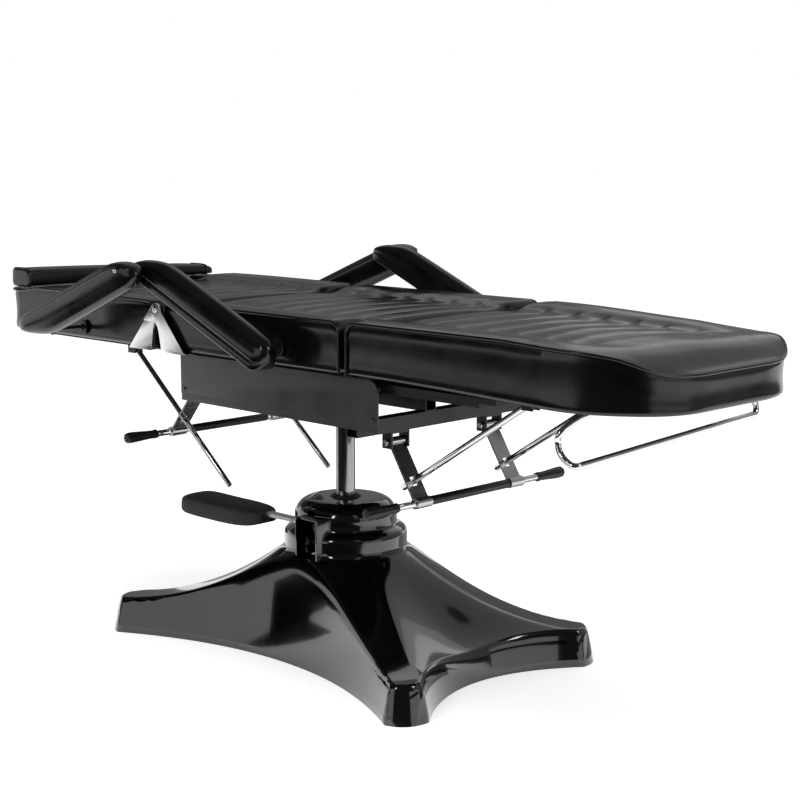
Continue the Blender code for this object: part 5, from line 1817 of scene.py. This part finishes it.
    def lamp(self, name: str, place: Point, aim: Point, size: Pair, power: float,
             mirrored: bool = True) -> None:
        """Hang one soft box.

        Args:
            name: The lamp's name.
            place: Where it hangs.
            aim: The point that it faces.
            size: Its width and height.
            power: Its power in watts.
            mirrored: Whether reflections show it.
        """
        data = bpy.data.lights.new(name, "AREA")
        data.shape, data.size, data.size_y, data.energy = "RECTANGLE", size[0], size[1], power
        item = bpy.data.objects.new(name, data)
        item.location = place
        item.rotation_euler = (Vector(aim) - Vector(place)).to_track_quat("-Z", "Y").to_euler()
        item.visible_glossy = mirrored
        bpy.context.scene.collection.objects.link(item)

    def level(self, z: float, *corners: Pair) -> list[Point]:
        """Return corners that all lie at one height."""
        return [(x, y, z) for x, y in corners]

    def build(self) -> None:
        """Set up the camera, the sweep, the lamps, and the cards and flags round the table."""
        bpy.context.scene.view_settings.view_transform = "Standard"
        self.camera()
        self.world()
        reach, far, top, cloth = self.floor_reach, self.ceiling_reach, self.ceiling, self.cloth_z
        ground = self.level(0, (-reach, -reach), (reach, -reach), (reach, reach), (-reach, reach))
        self.sheet("floor", ground, self.paper())
        middle, strip = (0.0, 0.0, 0.5), (0.35, 1.2)
        self.lamp("overhead_box", (0.2, -0.3, 3.2), (0.1, 0.0, 0.5), (3.2, 2.2), 60.0, False)
        self.lamp("left_strip", (1.0, -3.3, 2.2), middle, strip, 12.0)
        self.lamp("right_strip", (3.0, 0.6, 2.4), middle, strip, 12.0)
        front, split = -7.0, 1.6
        cards = (
            ("ceiling_front", top, ((-far, front), (far, front), (far, split), (-far, split)),
             0.06),
            ("ceiling_back", top, ((-far, split), (far, split), (far, far), (-far, far)), 0.40),
            ("floor_cloth", cloth, ((-2.7, -4.8), (4.8, -4.8), (4.8, -0.4), (1.3, -1.0),
                                    (0.5, -1.3), (-1.0, -0.7), (-3.5, -3.0)), 0.02),
            ("floor_card", cloth, ((-3.5, 0.35), (0.6, 0.35), (0.6, 4.0), (-3.5, 4.0)), 0.35))
        for name, z, corners, glow in cards:
            self.card(name, self.level(z, *corners), glow)
        flags = (
            ("back_card", (-8.0, 1.0), (-1.0, 8.0), (0.5, top), 0.18),
            ("back_window", (-2.6, 2.2), (-0.5, 4.0), (2.0, 3.0), 0.6),
            ("foot_window", (-1.7, 2.97), (-0.5, 4.0), (1.55, 2.0), 0.9),
            ("left_flag", (-4.4, -3.5), (-2.6, -4.9), (0.45, top), 0.0),
            ("front_flag_left", (-4.6, -2.9), (-2.0, -4.9), (2.1, top), 0.0),
            ("front_flag_right", (-2.0, -4.9), (1.0, -4.6), (2.1, top), 0.0),
            ("camera_flag", (1.0, -4.6), (4.6, -1.0), (0.0, top), 0.05),
            ("low_flag", (-1.83, -2.37), (-2.60, -1.50), (0.0, 0.22), 0.0),
            ("right_low_flag", (4.4, -1.2), (4.2, 2.0), (0.42, 0.62), 0.0),
            ("right_foot", (4.2, 2.0), (0.5, 6.5), (0.0, 0.35), 0.08),
            ("right_card", (4.2, 2.0), (0.5, 6.5), (0.35, top), 0.30))
        for name, start, end, heights, glow in flags:
            self.flag(name, start, end, heights, glow)


def cushions() -> list[Cushion]:
    """Size the three padded sections.

    Returns:
        The seat, the back and the leg section.
    """
    head = ((0.0, 0.0), (0.45, 0.0), (0.51, 0.008), (0.59, 0.008))
    foot = ((0.0, 0.0), (0.384, 0.0), (0.426, 0.0017), (0.529, 0.0073), (0.570, 0.0105),
            (0.604, 0.0167), (0.620, 0.0227), (0.637, 0.0321), (0.6525, 0.041), (0.6654, 0.047),
            (0.681, 0.050))
    fade = ((0.0, 1.0), (0.384, 1.0), (0.596, 0.25), (0.681, 0.2))
    droop = ((0.0, 0.0), (0.08, 0.0), (0.25, 0.0035), (0.43, 0.0095), (0.53, 0.0125),
             (0.62, 0.0145), (0.681, 0.0170))
    return [
        Cushion("seat_cushion", "frame", -0.250, 0.548, 1.0, PadEnd.SQUARE, 0.0, 0.090),
        Cushion("back_cushion", "backrest", -0.280, 0.590, -1.0, PadEnd.ROUNDED, 0.055, 0.080,
                fall=head),
        Cushion("leg_cushion", "leg_rest", 0.316, 0.681, 1.0, PadEnd.ROUNDED, 0.200, 0.094,
                fall=foot, swell=fade, droop=droop, twist=0.015),
    ]


def locks() -> list[FrictionLock]:
    """Size the two friction locks.

    Returns:
        The lock of the backrest and the lock of the leg rest.
    """
    return [
        FrictionLock("back", (-0.295, 0.578), 0.150, (-0.639, -0.770), 0.166, (-0.555, 0.630),
                     (0.7694, -0.6388), 0.440),
        FrictionLock("leg", (0.295, 0.515), 0.140, (0.534, -0.845), 0.136, (0.645, 0.630),
                     (-0.845, -0.534), 0.390),
    ]


def main() -> None:
    """Build the table's sub-assemblies in order, then the studio round them."""
    logging.basicConfig(level=logging.INFO, format="%(message)s")
    parts: list[Any] = [MouldedBase(), FootPedal(), LiftColumn(), SeatFrame(), *cushions(),
                        HeadPillow(), *(Armrest(side) for side in Side), *locks(), ReclineHinge(),
                        LegFrame(), Studio()]
    for part in parts:
        part.build()
    bpy.context.view_layer.update()


if __name__ == "__main__":
    main()
